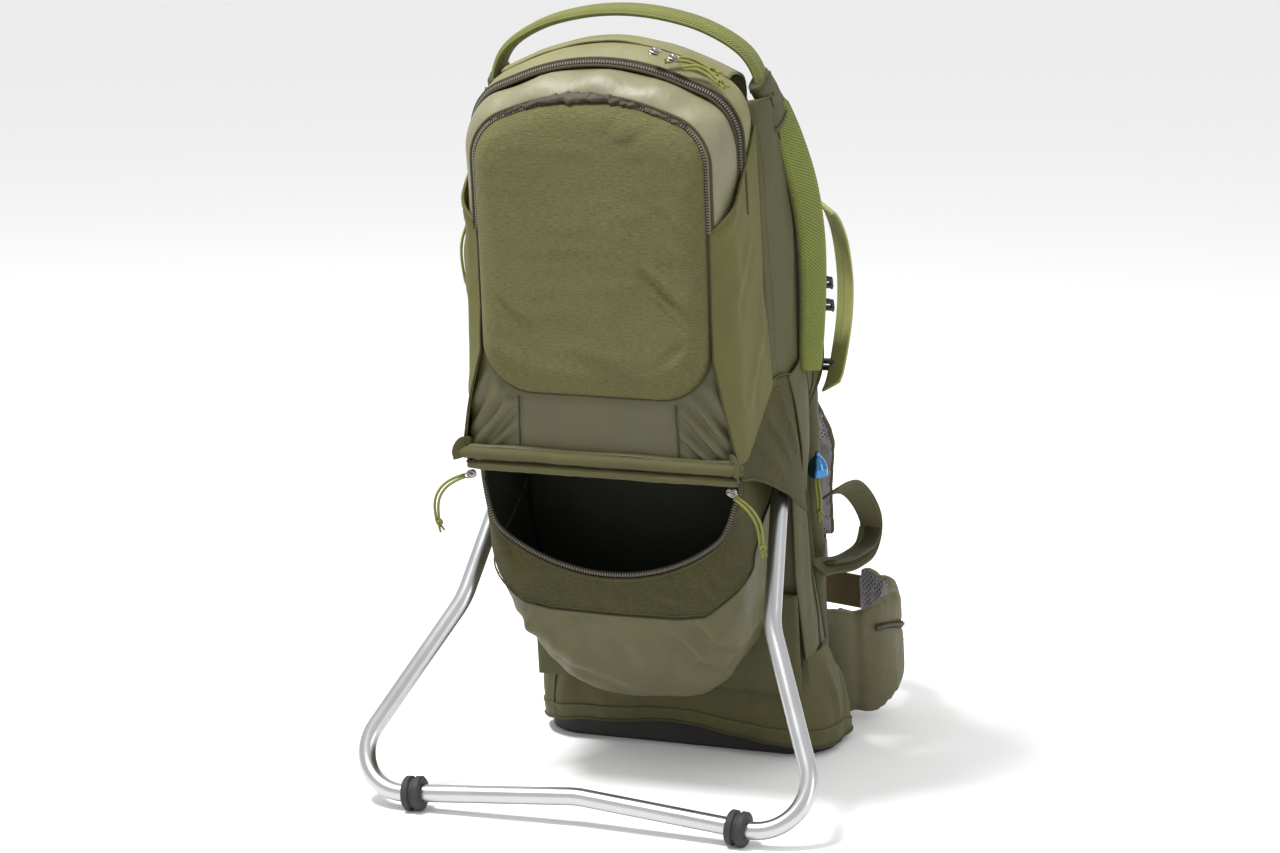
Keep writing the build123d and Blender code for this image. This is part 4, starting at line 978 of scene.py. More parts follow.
for side, s in SIDES:
    seam = np.array([(s * (73 + 2 * t), np.interp(416 - 60 * t, [352, 374, 412], [-228.6, -228.8, -227]),
                      416 - 60 * t) for t in np.linspace(0, 1, 20)])
    tube_piece(f"band_seam_{side}", seam, 0.7, binding_cloth, start=(1, 0, 0), sides=6)
    stitch_row(f"band_stitches_{side}", seam + [-s * 2.6, -0.5, 0], FORWARD, "frame")

# ---------------------------------------------------------------- rolled storm flap
roll_low, roll_high = leaning("bumper_roll")
ROLL_COUNT = 90


def roll_piece(name, back, up, radius, turns, seed, ends):
    """Cloth rolled up on itself along X, with its spiral showing at both ends."""
    at = np.linspace(*ends, ROLL_COUNT)
    wobble = np.array([[noise.noise(Vector((x / 40, seed, 0))), noise.noise(Vector((x / 40, seed, 9)))]
                       for x in at])
    tapered = radius * (1 - 0.3 * np.exp(-((at - ends[0]) / 9) ** 2) - 0.25
                        * np.exp(-((at - ends[1]) / 9) ** 2))
    angles = np.linspace(0.4, 2 * pi * turns, int(26 * turns))
    spiral = [1 - 0.3 * (angles[-1] - a) / (2 * pi) for a in angles]
    section = np.array([(r * cos(a), r * sin(a) * 0.92) for r, a in zip(spiral, angles)])
    grid = np.zeros((ROLL_COUNT, len(section), 3))
    for i, x in enumerate(at):
        grid[i, :, 0] = x
        grid[i, :, 1] = back + 0.9 * wobble[i, 0] - section[:, 0] * tapered[i]
        grid[i, :, 2] = up + 1.1 * wobble[i, 1] + section[:, 1] * tapered[i]
    grid[..., 1:] += 0.35 * ripple(grid, 12, seed + 3, (0.7, 1, 1))[..., None]
    o = grid_piece(name, grid, skirt_fabric, out=(0, -1, 0))
    cloth = o.modifiers.new("cloth", "SOLIDIFY")
    cloth.thickness = 0.0009
    cloth.offset = 0
    return o


upper_roll = roll_piece("storm_flap_roll", -235.0, 362.6, 6.2, 2.4, 2, (roll_low[0], roll_high[0]))
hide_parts("bumper_roll")
roll_piece("storm_flap_hem", -236.2, 351.6, 5.0, 1.6, 6, (roll_low[0] + 14, roll_high[0] - 4))
neck = np.array([[(x, -228.6 - 5.4 * t, 369.5 - 1.0 * t * t + 0.5 * sin(x / 17))
                  for x in np.linspace(-127, 127, 60)] for t in np.linspace(0, 1, 6)])
grid_piece("storm_flap_neck", neck, band_cloth, out=(0, -0.3, 1), thick=1.0)
for side, s in SIDES:
    tab = curve_through([(s * 121, -229, 371), (s * 127, -236, 373), (s * 131, -240, 366),
                         (s * 130, -241, 358)], 16)
    strap_piece(f"storm_flap_tab_{side}", tab, (0, 0.2, 1), 8, 1.6, olive_webbing, "frame", "olive_webbing")

# ---------------------------------------------------------------- lower pocket
MOUTH_TOP = pouch_high[2]
POUCH_HALF = pouch_high[0]
POUCH_BASE = pouch_low[2]
MOUTH_DROP = 96.0
LIP_RADIUS = (POUCH_HALF ** 2 + MOUTH_DROP ** 2) / (2 * MOUTH_DROP)
LIP_MIDDLE = MOUTH_TOP - MOUTH_DROP + LIP_RADIUS
COLUMNS = 170


def pouch_plan(up):
    """Plan of the lower pocket at one height, from its left rear round the front to its right rear."""
    half = np.interp(up, [96, 106, 122, 145, 178, 215, 260, 345], [46, 66, 84, 98, 110, 119, 125, POUCH_HALF])
    front = np.interp(up, [96, 103, 118, 140, 168, 196, 225, 250, 345],
                      [-146, -156, -172, -188, -201, -211, -218, -222, -224.5])
    rear = np.interp(up, [96, 110, 290, 320, 345], [-112, -96, -94, -119, -121])
    waist = np.interp(up, [96, 140, 250, 345], [8, 6, 9, 10])
    corner = min(np.interp(up, [96, 150, 240], [40, 44, 30]), 0.4 * abs(rear - front), half * 0.8)
    plan = bend_path([(-half + waist - 3, rear), (-half + waist * 0.8, (rear * 0.6 + front * 0.4)),
                      (-half, front), (half, front), (half - waist * 0.8, (rear * 0.6 + front * 0.4)),
                      (half - waist + 3, rear)], [24, corner, corner, 24], 14, 16)
    return spread(plan, COLUMNS)


def lip_height(x):
    """Height of the mouth's lip at each place across it."""
    inner = np.clip(LIP_RADIUS ** 2 - np.asarray(x) ** 2, 0, None)
    return np.minimum(LIP_MIDDLE - np.sqrt(inner), MOUTH_TOP)


def seam_height(x):
    """Height of the seam under the mouth's facing."""
    x = np.abs(np.asarray(x))
    return np.interp(x, [0, 60, 84, 104, 122, 140], [208, 209, 214, 236, 262, 290])


LEVELS = np.linspace(POUCH_BASE, MOUTH_TOP, 120)
PLANS = np.array([pouch_plan(level) for level in LEVELS])


def pouch_spot(column, up):
    """The lower pocket's surface at a column of its plan and a height."""
    x = np.interp(up, LEVELS, PLANS[:, column, 0])
    back = np.interp(up, LEVELS, PLANS[:, column, 1])
    return x, back


def pouch_rows(top, base, count):
    """Grid of the pocket's surface between two heights, each given for every column."""
    grid = np.zeros((count, COLUMNS, 3))
    for j in range(COLUMNS):
        heights = np.linspace(top[j], base[j], count)
        grid[:, j, 0], grid[:, j, 1] = pouch_spot(j, heights)
        grid[:, j, 2] = heights
    return grid


def pushed_out(grid, amount):
    """Moves a grid of the pocket's surface along its normals, out of the pocket."""
    normals = grid_normals(grid)
    if (normals[:, COLUMNS // 2, 1]).mean() > 0:
        normals = -normals
    return grid + normals * np.asarray(amount)[..., None]


top_plan = PLANS[-1]
on_front = top_plan[:, 1] < -205
lip_line = np.where(on_front, lip_height(top_plan[:, 0]), MOUTH_TOP)
mid_plan = PLANS[40]
seam_line = seam_height(mid_plan[:, 0] * 1.08)
seam_line = np.where(top_plan[:, 1] > -200, np.maximum(seam_line, 262 + (top_plan[:, 1] + 200) * 0.55),
                     seam_line)

facing_grid = pouch_rows(lip_line, seam_line, 40)
x, up = facing_grid[..., 0], facing_grid[..., 2]
lift = (0.9 * ripple(facing_grid, 34, 21) + 0.35 * ripple(facing_grid, 12, 22)
        + creases(x, up, ((96, 300), (118, 262), 5, 2.2), ((80, 262), (104, 232), 5, 1.8),
                  ((-104, 290), (-84, 246), 5, -1.8), ((30, 240), (70, 226), 6, 1.2)))
facing_grid = pushed_out(facing_grid, lift + 0.8)
# the facing's inner face takes the near-black lining: painted shade inside the pocket
facing = grid_piece("lower_pocket_facing", facing_grid, [patch_cloth, pocket_shade_lining], "frame", "olive_ripstop",
                    nodes=("lower_pocket",), out=FORWARD, thick=2.4)
facing.modifiers["cloth"].material_offset = 1

BASE_MIDDLE = -118.0
BASE_LINE = POUCH_BASE + 34 * (np.abs(PLANS[0][:, 0] + 14) / 60) ** 1.8
hammock_grid = pouch_rows(seam_line, BASE_LINE, 60)
x, up = hammock_grid[..., 0], hammock_grid[..., 2]
sag = ease(96, 150, up)
lift = (1.4 * ripple(hammock_grid, 48, 31, (1, 1, 2)) + 0.4 * ripple(hammock_grid, 14, 33)
        + creases(x, up, ((52, 196), (92, 150), 7, 3.4), ((76, 214), (108, 164), 6, 3.0),
                  ((-40, 200), (-76, 150), 8, 2.6), ((-70, 216), (-98, 170), 6, 2.2),
                  ((8, 190), (22, 140), 9, 1.8)))
lift = (lift * 1.5 + 1.5 * ripple(hammock_grid, 20, 34, (1, 1, 2.4))
        + creases(x, up, ((-112, 200), (10, 112), 9, 3.4), ((-96, 168), (28, 106), 8, 2.6),
                  ((118, 226), (40, 116), 9, 3.6), ((112, 190), (56, 112), 7, 3.0),
                  ((-30, 202), (-64, 120), 8, 2.4)))
hammock_grid = pushed_out(hammock_grid, lift * sag)
# the hammock's inner face takes the near-black lining: painted shade inside the pocket
hammock = grid_piece("lower_pocket_hammock", hammock_grid, [olive_cloth, pocket_shade_lining],
                     out=FORWARD, thick=2.0)
hammock.modifiers["cloth"].material_offset = 1
# the base closes towards its middle in four steps
rim = hammock_grid[-1]
drawn = np.array([[1.0], [0.8], [0.5], [0.2]])
fallen = np.array([[0], [0.5], [0.85], [1.0]])
base_grid = np.stack([rim[:, 0] * drawn, rim[:, 1] * drawn + BASE_MIDDLE * (1 - drawn),
                      rim[:, 2] + (POUCH_BASE + 1 - rim[:, 2]) * fallen], axis=-1)
grid_piece("lower_pocket_base", base_grid, olive_cloth, out=(0, 0, -1), thick=1.6)
seam_grid = pushed_out(pouch_rows(seam_line + 0.5, seam_line - 0.5, 3), np.full((3, COLUMNS), 1.8))
seam_path = spread(seam_grid[1][6:-6], 150)
tube_piece("lower_pocket_seam", seam_path, 0.9, binding_cloth, start=FORWARD, sides=6)
seam_front = seam_path[seam_path[:, 1] < -200]
stitch_row("lower_pocket_stitches", seam_front + [0, -0.3, 3.2], FORWARD, "frame")

# cloth behind the pocket's base, below the child's seat
wall = np.array([[(x, -91.5, up) for x in np.linspace(-131, 131, 60)] for up in np.linspace(186, 84, 24)])
wall[..., 1] -= 1.5 * ripple(wall, 40, 45)
grid_piece("lower_pocket_wall", wall, side_cloth, out=FORWARD, thick=1.4)

# lining inside the pocket, towards the child's seat, and a ceiling under the roll, both near black: painted
# shade inside the pocket
lining_rows = []
for up in np.linspace(MOUTH_TOP - 4, 160, 24):
    half = np.interp(up, [96, 140, 250, 345], [70, 92, 112, 113])
    xs = np.linspace(-half, half, 50)
    bow = 4 * np.cos(pi * xs / (2 * half)) * sin(pi * (up - 100) / 250)
    lining_rows.append(np.stack([xs, -125 - bow, np.full(50, up)], axis=-1))
lining_grid = np.array(lining_rows)
lining_grid[..., 1] -= 1.5 * ripple(lining_grid, 30, 41)
grid_piece("lower_pocket_lining", lining_grid, pocket_shade_lining, out=FORWARD, thick=1.2)
ceiling = np.array([[(x, b, 344.5 - 0.02 * abs(b + 170)) for x in np.linspace(-118, 118, 30)]
                    for b in np.linspace(-226, -123, 14)])
grid_piece("lower_pocket_ceiling", ceiling, pocket_shade_lining, out=(0, 0, -1), thick=1.0)

# zip along the lip, and its other half under the roll
lip_columns = [j for j in range(COLUMNS) if lip_line[j] < MOUTH_TOP - 0.5]
lip_grid = pushed_out(pouch_rows(lip_line, lip_line - 4, 3), np.full((3, COLUMNS), 1.0))
lip_path = spread(lip_grid[0][lip_columns[0] - 1:lip_columns[-1] + 2], 170)
zip_pieces("lip_zip", lip_path + [0, -0.4, 1.8], FORWARD, "frame", width=5.4)
lip_low = spread(lip_grid[0][lip_columns[0] - 1:lip_columns[-1] + 2], 170) + [0, -1.0, -3.0]
tube_piece("lip_binding", lip_low, 1.7, patch_cloth, "frame", "olive_ripstop", start=FORWARD, sides=8)
under_roll = np.array([(x, -227.6, 347.4 + 0.6 * sin(x / 21)) for x in np.linspace(-118, 118, 120)])
zip_pieces("roll_zip", under_roll, (0, -0.9, -0.4), "frame", width=6.0)


# ---------------------------------------------------------------- stretch pockets on the bag's sides
def stretch_plan(up, s):
    """From the front pocket's seam round the bag's corner to its rear edge, at one height."""
    rim = np.interp(up, [362, 400, 455, 640], [126.5, 119, POCKET_HALF + 1.0, POCKET_HALF + 1.5])
    back = np.interp(up, [362, 412, 455, 560, 640], [-229, -227, -219, -211, -207])
    corner = np.interp(up, [362, 415, 640], [-212, -206, -199])
    half = np.interp(up, [362, 372, 415, 640], [129.2, 129, 125.5, 124])
    path = bend_path([(rim, back), (half, corner), (half + 0.6, BAG_BACK)], 16, 10, 24)
    return spread(path, 64) * [s, 1]


STRETCH_ROWS = np.linspace(640, 364, 90)
for side, s in SIDES:
    rows = []
    for up in STRETCH_ROWS:
        plan = stretch_plan(up, s)
        first = np.interp(up, [566, 640], [0.0, 0.97])
        last = np.interp(up, [364, 404], [0.16, 1.0])
        at = np.linspace(first, max(last, first + 0.02), 64) * 63
        rows.append(np.stack([np.interp(at, np.arange(64), plan[:, 0]),
                              np.interp(at, np.arange(64), plan[:, 1]), np.full(64, up)], axis=-1))
    grid = np.array(rows)
    back, up = grid[..., 1], grid[..., 2]
    lift = (1.0 * ripple(grid, 60, 51 + s, (1, 1, 1.6))
            + creases(back, up, ((-214, 556), (-176, 600), 5, 1.4), ((-208, 470), (-190, 556), 6, 1.1),
                      ((-214, 430), (-196, 388), 4, 1.2), ((-150, 420), (-136, 520), 7, 2.0),
                      ((-196, 400), (-142, 470), 8, 2.4), ((-206, 500), (-150, 560), 8, 2.0)))
    normals = grid_normals(grid)
    if (normals[..., 0] * s).mean() < 0:
        normals = -normals
    grid = grid + normals * (0.6 + lift + 2.0 * ease(500, 460, up))[..., None]
    grid_piece(f"stretch_pocket_{side}", grid, stretch_cloth, out=(s, -0.4, 0), thick=1.4)
    binding = grid[:, 0][STRETCH_ROWS > 566] + [s * 0.3, -0.5, 0.6]
    tube_piece(f"stretch_binding_{side}", spread(binding, 50), 1.6, stretch_cloth, sides=8)
    seam = grid[:, 0][STRETCH_ROWS <= 568] + [s * 0.2, -0.3, 0]
    tube_piece(f"stretch_seam_{side}", spread(seam, 90), 0.9, binding_cloth, sides=6)
    stitch_row(f"stretch_stitches_{side}", binding + [s * 0.9, -1.2, -2.2], (s * 0.6, -0.8, 0), "frame")

# ---------------------------------------------------------------- cockpit sides and pivot covers
PANEL_X = 131.0


def strip_grid(front, rear, s, x, swell, count=(120, 22)):
    """A soft panel between a front and a rear edge given in side view, from top to bottom."""
    front, rear = spread(np.array(front, float), count[0]), spread(np.array(rear, float), count[0])
    t = np.linspace(0, 1, count[1])[None, :, None]
    flat = front[:, None] * (1 - t) + rear[:, None] * t
    inner = x - np.interp(flat[:, :1, 1], [395, 415, 600, 640, 664], [0, 5.5, 6.5, 10, 17])
    out = s * (x + swell * np.sin(pi * t[..., 0]) * np.ones((count[0], 1)) - (x - inner)
               * np.exp(-5.0 * t[..., 0]))
    return np.stack([out, flat[..., 0], flat[..., 1]], axis=-1)


for side, s in SIDES:
    front_edge = bend_path([(-127, 662), (-127, 404), (-84, 376), (-90, 300), (-90, 200), (-72, 112)],
                           [16, 16, 30, 50], 10, 14)
    rear_edge = bend_path([(-97, 662), (-62, 618), (-14, 536), (13, 498), (17, 372), (-36, 350), (-51, 275),
                           (-40, 200), (-22, 142), (-13, 112)], [30, 60, 40, 28, 26, 30, 60, 60, 40], 10, 14)
    grid = strip_grid(front_edge, rear_edge, s, PANEL_X, 3.0)
    back, up = grid[..., 1], grid[..., 2]
    lift = (1.3 * ripple(grid, 46, 61 + s, (1, 1, 1.7)) + 1.6 * ripple(grid, 20, 67 + s, (1, 1, 3.4))
            + creases(back, up, ((-40, 392), (-8, 470), 6, 2.2), ((-84, 420), (-60, 560), 7, 1.8),
                      ((-60, 150), (-66, 300), 6, 1.6), ((-40, 130), (-56, 230), 5, 1.6)))
    edge_fade = np.sin(pi * np.linspace(0, 1, grid.shape[1])) ** 0.5
    grid[..., 0] += s * lift * edge_fade
    grid_piece(f"side_cloth_{side}", grid, side_cloth, nodes=(f"side_panel_{side}",),
               out=(s, 0, 0), thick=2.2)
    rim = np.stack([np.full(len(rear_edge), s * PANEL_X), rear_edge[:, 0], rear_edge[:, 1]], axis=-1)
    tube_piece(f"side_binding_{side}", spread(rim, 170), 2.3, binding_cloth, start=(s, 0, 0),
               sides=8)
    seam = grid[:, 14] + [s * 0.6, 0, 0]
    tube_piece(f"side_seam_{side}", spread(seam, 140), 0.8, binding_cloth, start=(s, 0, 0),
               sides=6)
    stitch_row(f"side_stitches_{side}", spread(grid[:, 2], 60) + [s * 0.9, 0, 0], (s, 0, 0), "frame", 3.6)

    # cloth between the lower pocket's rear edge and the cockpit side
    rows = []
    for up in np.linspace(372, 84, 80):
        x_pouch, back_pouch = pouch_spot(COLUMNS - 1, min(up, 344))
        back_side = np.interp(up, front_edge[::-1, 1], front_edge[::-1, 0])
        t = np.linspace(0, 1, 24)
        inner_x, inner_back = x_pouch - 3, back_pouch + 6
        rows.append(np.stack([s * (inner_x + (PANEL_X + 0.5 - inner_x) * t ** 2.4),
                              inner_back + (back_side + 4 - inner_back) * (1 - (1 - t) ** 2.4),
                              np.full(24, up)], axis=-1))
    gusset = np.array(rows)
    gusset[..., 1] -= 1.2 * ripple(gusset, 26, 66 + s, (1, 1, 3.0)) * np.sin(pi * np.linspace(0, 1, 24))
    grid_piece(f"side_gusset_{side}", gusset, side_cloth, out=FORWARD, thick=1.6)

    # textured cover over the pivot hub and the top of the kickstand's leg
    top_edge = curve_through([(s * 128.6, -222, 366), (s * 127.4, -180, 386), (s * 126.6, -132, 405),
                              (s * 131.4, -108, 407), (s * 135.0, -84, 398)], 60)
    low_edge = curve_through([(s * 128.6, -224, 349), (s * 130.0, -196, 340), (s * 137.5, -152, 312),
                              (s * 143.0, -126, 290), (s * 144.0, -104, 278), (s * 139.0, -84, 284)], 60)
    leaf_front = curve_through([(s * 134.4, -96, 402), (s * 139, -92, 370), (s * 142, -90, 330),
                                (s * 140, -88, 290)], 50)
    leaf_rear = curve_through([(s * 134.4, -62, 412), (s * 134.6, -44, 378), (s * 135.0, -50, 330),
                               (s * 136, -76, 286)], 50)
    t = np.linspace(0, 1, 20)[None, :, None]
    leaf = leaf_front[:, None] * (1 - t) + leaf_rear[:, None] * t
    leaf[..., 0] += s * 4.0 * np.sin(pi * t[..., 0])
    leaf[..., 0] += s * 0.8 * ripple(leaf, 20, 76, (1, 1, 2))
    grid_piece(f"hub_cover_{side}", leaf, skirt_fabric, out=(s, 0, 0), thick=1.8)
    tube_piece(f"hub_cover_piping_{side}", leaf[:, -1], 1.3, binding_cloth, start=(s, 0, 0),
               sides=8)
    t = np.linspace(0, 1, 36)[:, None, None]
    grid = top_edge[None] * (1 - t) + low_edge[None] * t
    bulge = np.sin(pi * np.clip(t[..., 0] * 0.62, 0, 1)) * np.sin(pi * np.linspace(0, 1, 60))[None] ** 0.8
    grid[..., 0] += s * (9.5 * bulge)
    back, up = grid[..., 1], grid[..., 2]
    lift = (1.0 * ripple(grid, 26, 71 + s)
            + creases(back, up, ((-190, 372), (-150, 330), 5, 2.4), ((-160, 388), (-128, 336), 5, 2.8),
                      ((-120, 396), (-104, 322), 6, 1.8)))
    grid[..., 0] += s * np.clip(lift, -1.0, 3) * np.sin(pi * np.linspace(0, 1, 60))[None] ** 0.6
    grid_piece(f"pivot_cover_{side}", grid, patch_cloth, "frame", "olive_ripstop", out=(s, 0, 0), thick=1.8)
    tube_piece(f"pivot_cover_hem_{side}", grid[-1] + [s * -0.6, 0, 0.4], 1.6, patch_cloth, "frame",
               "olive_ripstop", sides=8)
    tube_piece(f"pivot_cover_piping_{side}", grid[0] + [s * 0.4, 0, 0.4], 1.2, binding_cloth,
               sides=8)

# ---------------------------------------------------------------- handles
arch_low, arch_high = leaning("top_handle")
HANDLE_BACK = (arch_low[1] + arch_high[1]) / 2
ARCH = [(-123, 655), (-122, 678), (-108, 701), (-76, 720), (-38, 730.5), (0, 734), (38, 730.5), (76, 720),
        (108, 701), (122, 678), (123, 655)]


def padded_section(width, thick, power=2.6, sides=28):
    """A full oval section, squarer than an ellipse."""
    angles = np.linspace(0, 2 * pi, sides, endpoint=False)
    c, s = np.cos(angles), np.sin(angles)
    return np.stack([np.sign(c) * np.abs(c) ** (2 / power) * width / 2,
                     np.sign(s) * np.abs(s) ** (2 / power) * thick / 2], axis=-1)


arch = curve_through([(x, HANDLE_BACK, up) for x, up in ARCH], 120)
width = 26 + 2.0 * np.cos(np.linspace(-1, 1, 120) * pi)
section = np.array([padded_section(w, 9.0) for w in width])
arch_grid = swept(arch, section, (0, 1, 0))
handle_padding = grid_piece("top_handle_padding", arch_grid, handle_cloth, "top_handle", "lime_padding",
                            nodes=("top_handle",), wrap=True, caps="both")
for k, name in ((0, "rear"), (14, "front")):
    tube_piece(f"top_handle_piping_{name}", arch_grid[:, k], 1.2, lime_plain, "top_handle", "lime_padding",
               sides=8)
for k, name in ((5, "over_rear"), (9, "over_front")):
    stitch_row(f"top_handle_stitches_{name}", arch_grid[:, k], grid_normals(arch_grid, True)[:, k],
               "top_handle", 3.4, lime_thread)

GRIP_ROUTE = [(-84, 648), (-70, 610), (-54, 565), (-44, 520), (-43, 480), (-50, 440), (-62, 396)]
grip_low, grip_high = leaning("side_grip_right")
GRIP_X = (grip_low[0] + grip_high[0]) / 2 + 4
for side, s in SIDES:
    path = curve_through([(s * (GRIP_X - 14 * max(0, (up - 520) / 128) ** 2), back, up) for back,
                          up in GRIP_ROUTE], 110)
    size = np.linspace(0, 1, 110)
    full = 0.72 + 0.28 * np.sin(pi * size) ** 0.5
    section = np.array([padded_section(32 * f, 12.5 * f) for f in full])
    grid = swept(path, section, (s * 0.5, 0.87, 0))
    grip_padding = grid_piece(f"side_grip_padding_{side}", grid, lime_cloth, f"grip_{side}", "lime_padding",
                              nodes=(f"side_grip_{side}",), wrap=True, caps="both")
    for k, name in ((0, "rear"), (14, "front")):
        tube_piece(f"side_grip_piping_{side}_{name}", grid[2:-2, k], 1.3, olive_webbing, f"grip_{side}",
                   "olive_webbing", sides=8)
    for k, name in ((4, "a"), (10, "b")) if s > 0 else ((24, "a"), (18, "b")):
        stitch_row(f"side_grip_stitches_{side}_{name}", grid[3:-3, k], grid_normals(grid, True)[3:-3, k],
                   f"grip_{side}", 3.4, lime_thread)
    # olive sleeve that joins the top handle to the grip
    sleeve_path = curve_through([(s * 121, -101, 676), (s * 124, -97, 666), (s * 128, -90, 653),
                                 (s * 132, -82, 634)], 34)
    width = np.linspace(31, 37, 34)
    section = np.array([padded_section(w, 13.5, 3.2) for w in width])
    sleeve = swept(sleeve_path, section, (0, 1, 0.4))
    sleeve = sleeve + 0.9 * ripple(sleeve, 14, 81)[..., None]
    grid_piece(f"corner_sleeve_{side}", sleeve, side_cloth, wrap=True, caps="both")
    for row in (3, -4):
        tube_piece(f"corner_sleeve_hem_{side}_{row % 34}",
                   np.concatenate([sleeve[row], sleeve[row][:1]]) * [1.002, 1, 1], 0.8, binding_cloth,
                   sides=6)

    # lift handle of flat webbing, with a ladder lock on its upper and lower run
    lift_route = [(-14, 536), (2, 531), (22, 514), (40, 488), (50, 450), (44, 416), (26, 388), (6, 368),
                  (-8, 362)]
    lift_path = curve_through([(s * 146, back, up) for back, up in lift_route], 110)
    strap_piece(f"lift_handle_webbing_{side}", lift_path, (s * 0.8, 0, -0.6), 23, 2.6, lime_webbing,
                f"lift_{side}", "lime_webbing", nodes=(f"lift_handle_{side}",))
    stitch_row(f"lift_handle_stitches_{side}", lift_path[12:98] + [s * -1.2, -1.6, 0], (0, -0.9, 0.3),
               f"lift_{side}", 3.4, lime_thread)
    for name, back, up in (("upper", 12, 459), ("middle", 13, 437), ("lower", 20, 376)):
        blocks = [pill((s * 134, back + 1.5 * k, up - 7 * k), (0, 0.2, -1), (1, 0, 0), (0, 1, 0.2), 4, 22, 8)
                  for k in range(2)]
        blocks += [pill((s * (134 + x), back + 1, up - 4), (0, 0.2, -1), (1, 0, 0), (0, 1, 0.2), 12, 3, 6)
                   for x in (-10, 10)]
        joined(f"side_ladder_lock_{side}_{name}", blocks, plastic, "frame")

    # foot stirrup: an olive webbing loop with a dark lining
    stirrup_route = [(-26, 262), (6, 256), (40, 244), (72, 222), (96, 198), (104, 182), (96, 170), (76, 165),
                     (44, 170), (10, 178), (-20, 188), (-44, 194)]
    drawn_in = [1, 0, 0, 0, 0, 0, 0, 0, 0, 1, 6, 11]
    path = curve_through([(s * (146 - d), back, up) for d, (back, up) in zip(drawn_in, stirrup_route)], 130)
    strap_piece(f"stirrup_webbing_{side}", path, (0.8, 0, s * 0.6), 23, 2.4, olive_webbing, f"stirrup_{side}",
                "olive_webbing", nodes=(f"stirrup_{side}",))
    inner = path[66:124]
    middle = np.array([s * 146, 54, 208])
    inward = middle - inner
    inward[:, 0] = 0
    inward = unit(inward)
    section = np.array([padded_section(26, 5.5) for _ in inner])
    stirrup_pad = grid_piece(f"stirrup_pad_{side}", swept(inner + inward * 3.8, section, (0.8, 0, s * 0.6)),
                             binding_cloth, f"stirrup_{side}", "olive_fabric", wrap=True, caps="both")
    ahead = np.gradient(path, axis=0)[4:-4]
    lift = -np.cross(ahead, (1, 0, 0))
    for shift in (-9, 9):
        row = path[4:-4] + [shift, 0, 0] + lift * 1.3 / np.linalg.norm(ahead, axis=1, keepdims=True)
        stitch_row(f"stirrup_stitches_{side}_{shift + 9}", row, lift, f"stirrup_{side}", 3.6)

# ---------------------------------------------------------------- sleeves over the main frame's uprights
for side, s in SIDES:
    upright = np.array([(s * 115, 12, up) for up in np.linspace(58, 470, 120)])
    section = np.array([ring(10.6 + 0.4 * sin(i / 5.0), 20) for i in range(120)])
    sleeve = swept(upright, section, (1, 0, 0))
    sleeve = sleeve + 0.5 * ripple(sleeve, 14, 86)[..., None]
    grid_piece(f"upright_sleeve_{side}", sleeve, side_cloth, wrap=True, caps="both")

# ---------------------------------------------------------------- skirt over the boot
SKIRT_HALF, SKIRT_FRONT, SKIRT_REAR, SKIRT_TOP = leaning("skirt")[1][0], -83.0, 45.2, 112.0
SKIRT_COLUMNS = 300


def skirt_plan(grow):
    """The skirt's plan, grown outwards, from the middle of its rear."""
    half, front, rear = SKIRT_HALF + grow, SKIRT_FRONT - grow, SKIRT_REAR + grow
    corners = [(0, rear), (-half, rear), (-half, front), (half, front), (half, rear), (0, rear)]
    return spread(bend_path(corners, 46 + grow, 14, 22), SKIRT_COLUMNS + 1)[:-1]


skirt_edge = skirt_plan(0)
hem_height = (13 - 6 * ease(60, 140, skirt_edge[:, 0]) + 1.4 * np.sin(skirt_edge[:, 0] / 19 + 1)
              + 14 * np.exp(-((skirt_edge[:, 0] + 15) / 100) ** 2) * ease(-40, -70, skirt_edge[:, 1]))
hem_up = (hem_height - skirt_edge[:, 1] * sin(LEAN)) / cos(LEAN)
top_up = SKIRT_TOP + (44 - SKIRT_TOP) * ease(-34, 40, skirt_edge[:, 1])


def skirt_rows(start, end, count, grow):
    """Rows of the skirt from one share of its height to another, counted down from its top."""
    rows = []
    for t in np.linspace(start, end, count):
        swell = grow + 2.6 * sin(pi * t) - 11.0 * (1 - t) ** 2.2
        plan = skirt_plan(swell)
        rows.append(np.stack([plan[:, 0], plan[:, 1], top_up + (hem_up - top_up) * t], axis=-1))
    return np.array(rows)


def skirt_folds(grid):
    """Folds of the skirt: mostly upright ones, deeper at its corners and sides."""
    x, back, up = grid[..., 0], grid[..., 1], grid[..., 2]
    folds = 2.4 * ripple(grid, 26, 91, (1, 1, 3.6)) + 1.0 * ripple(grid, 14, 92, (1, 1, 2.0))
    in_front = creases(x, up, ((-96, 108), (-118, 44), 7, 3.0), ((94, 110), (126, 34), 6, 3.2),
                       ((-24, 96), (38, 70), 9, 2.2))
    at_sides = creases(back, up, ((-46, 100), (-28, 30), 6, 3.0), ((6, 104), (-6, 24), 6, 2.6))
    return folds + in_front * (back < 0) + at_sides * (np.abs(x) > 120)


def skirt_out(grid, amount):
    normals = grid_normals(grid, True)
    if (normals[:, SKIRT_COLUMNS // 2, 1]).mean() > 0:
        normals = -normals
    return grid + normals * np.asarray(amount)[..., None]


skirt_grid = skirt_rows(0, 1, 60, 0)
skirt_grid = skirt_out(skirt_grid, np.clip(skirt_folds(skirt_grid), -1.0, 4.5))
skirt_cloth_piece = grid_piece("skirt_cloth", skirt_grid, skirt_fabric, nodes=("skirt",),
                               wrap=True, thick=2.0)
band_rows = skirt_rows(0.8, 1.0, 12, 0)
band_rows = skirt_out(band_rows, np.clip(skirt_folds(band_rows), -1.0, 4.5) + 1.3)
grid_piece("skirt_hem_band", band_rows, skirt_fabric, wrap=True, thick=1.2)
hem_edge = np.concatenate([band_rows[-1], band_rows[-1][:1]]) + [0, 0, 0.5]
tube_piece("skirt_hem", hem_edge, 1.7, binding_cloth, start=FORWARD, sides=8)
hem_seam = np.concatenate([band_rows[1], band_rows[1][:1]])
hem_out = grid_normals(band_rows, True)[1]
if hem_out[SKIRT_COLUMNS // 2, 1] > 0:
    hem_out = -hem_out
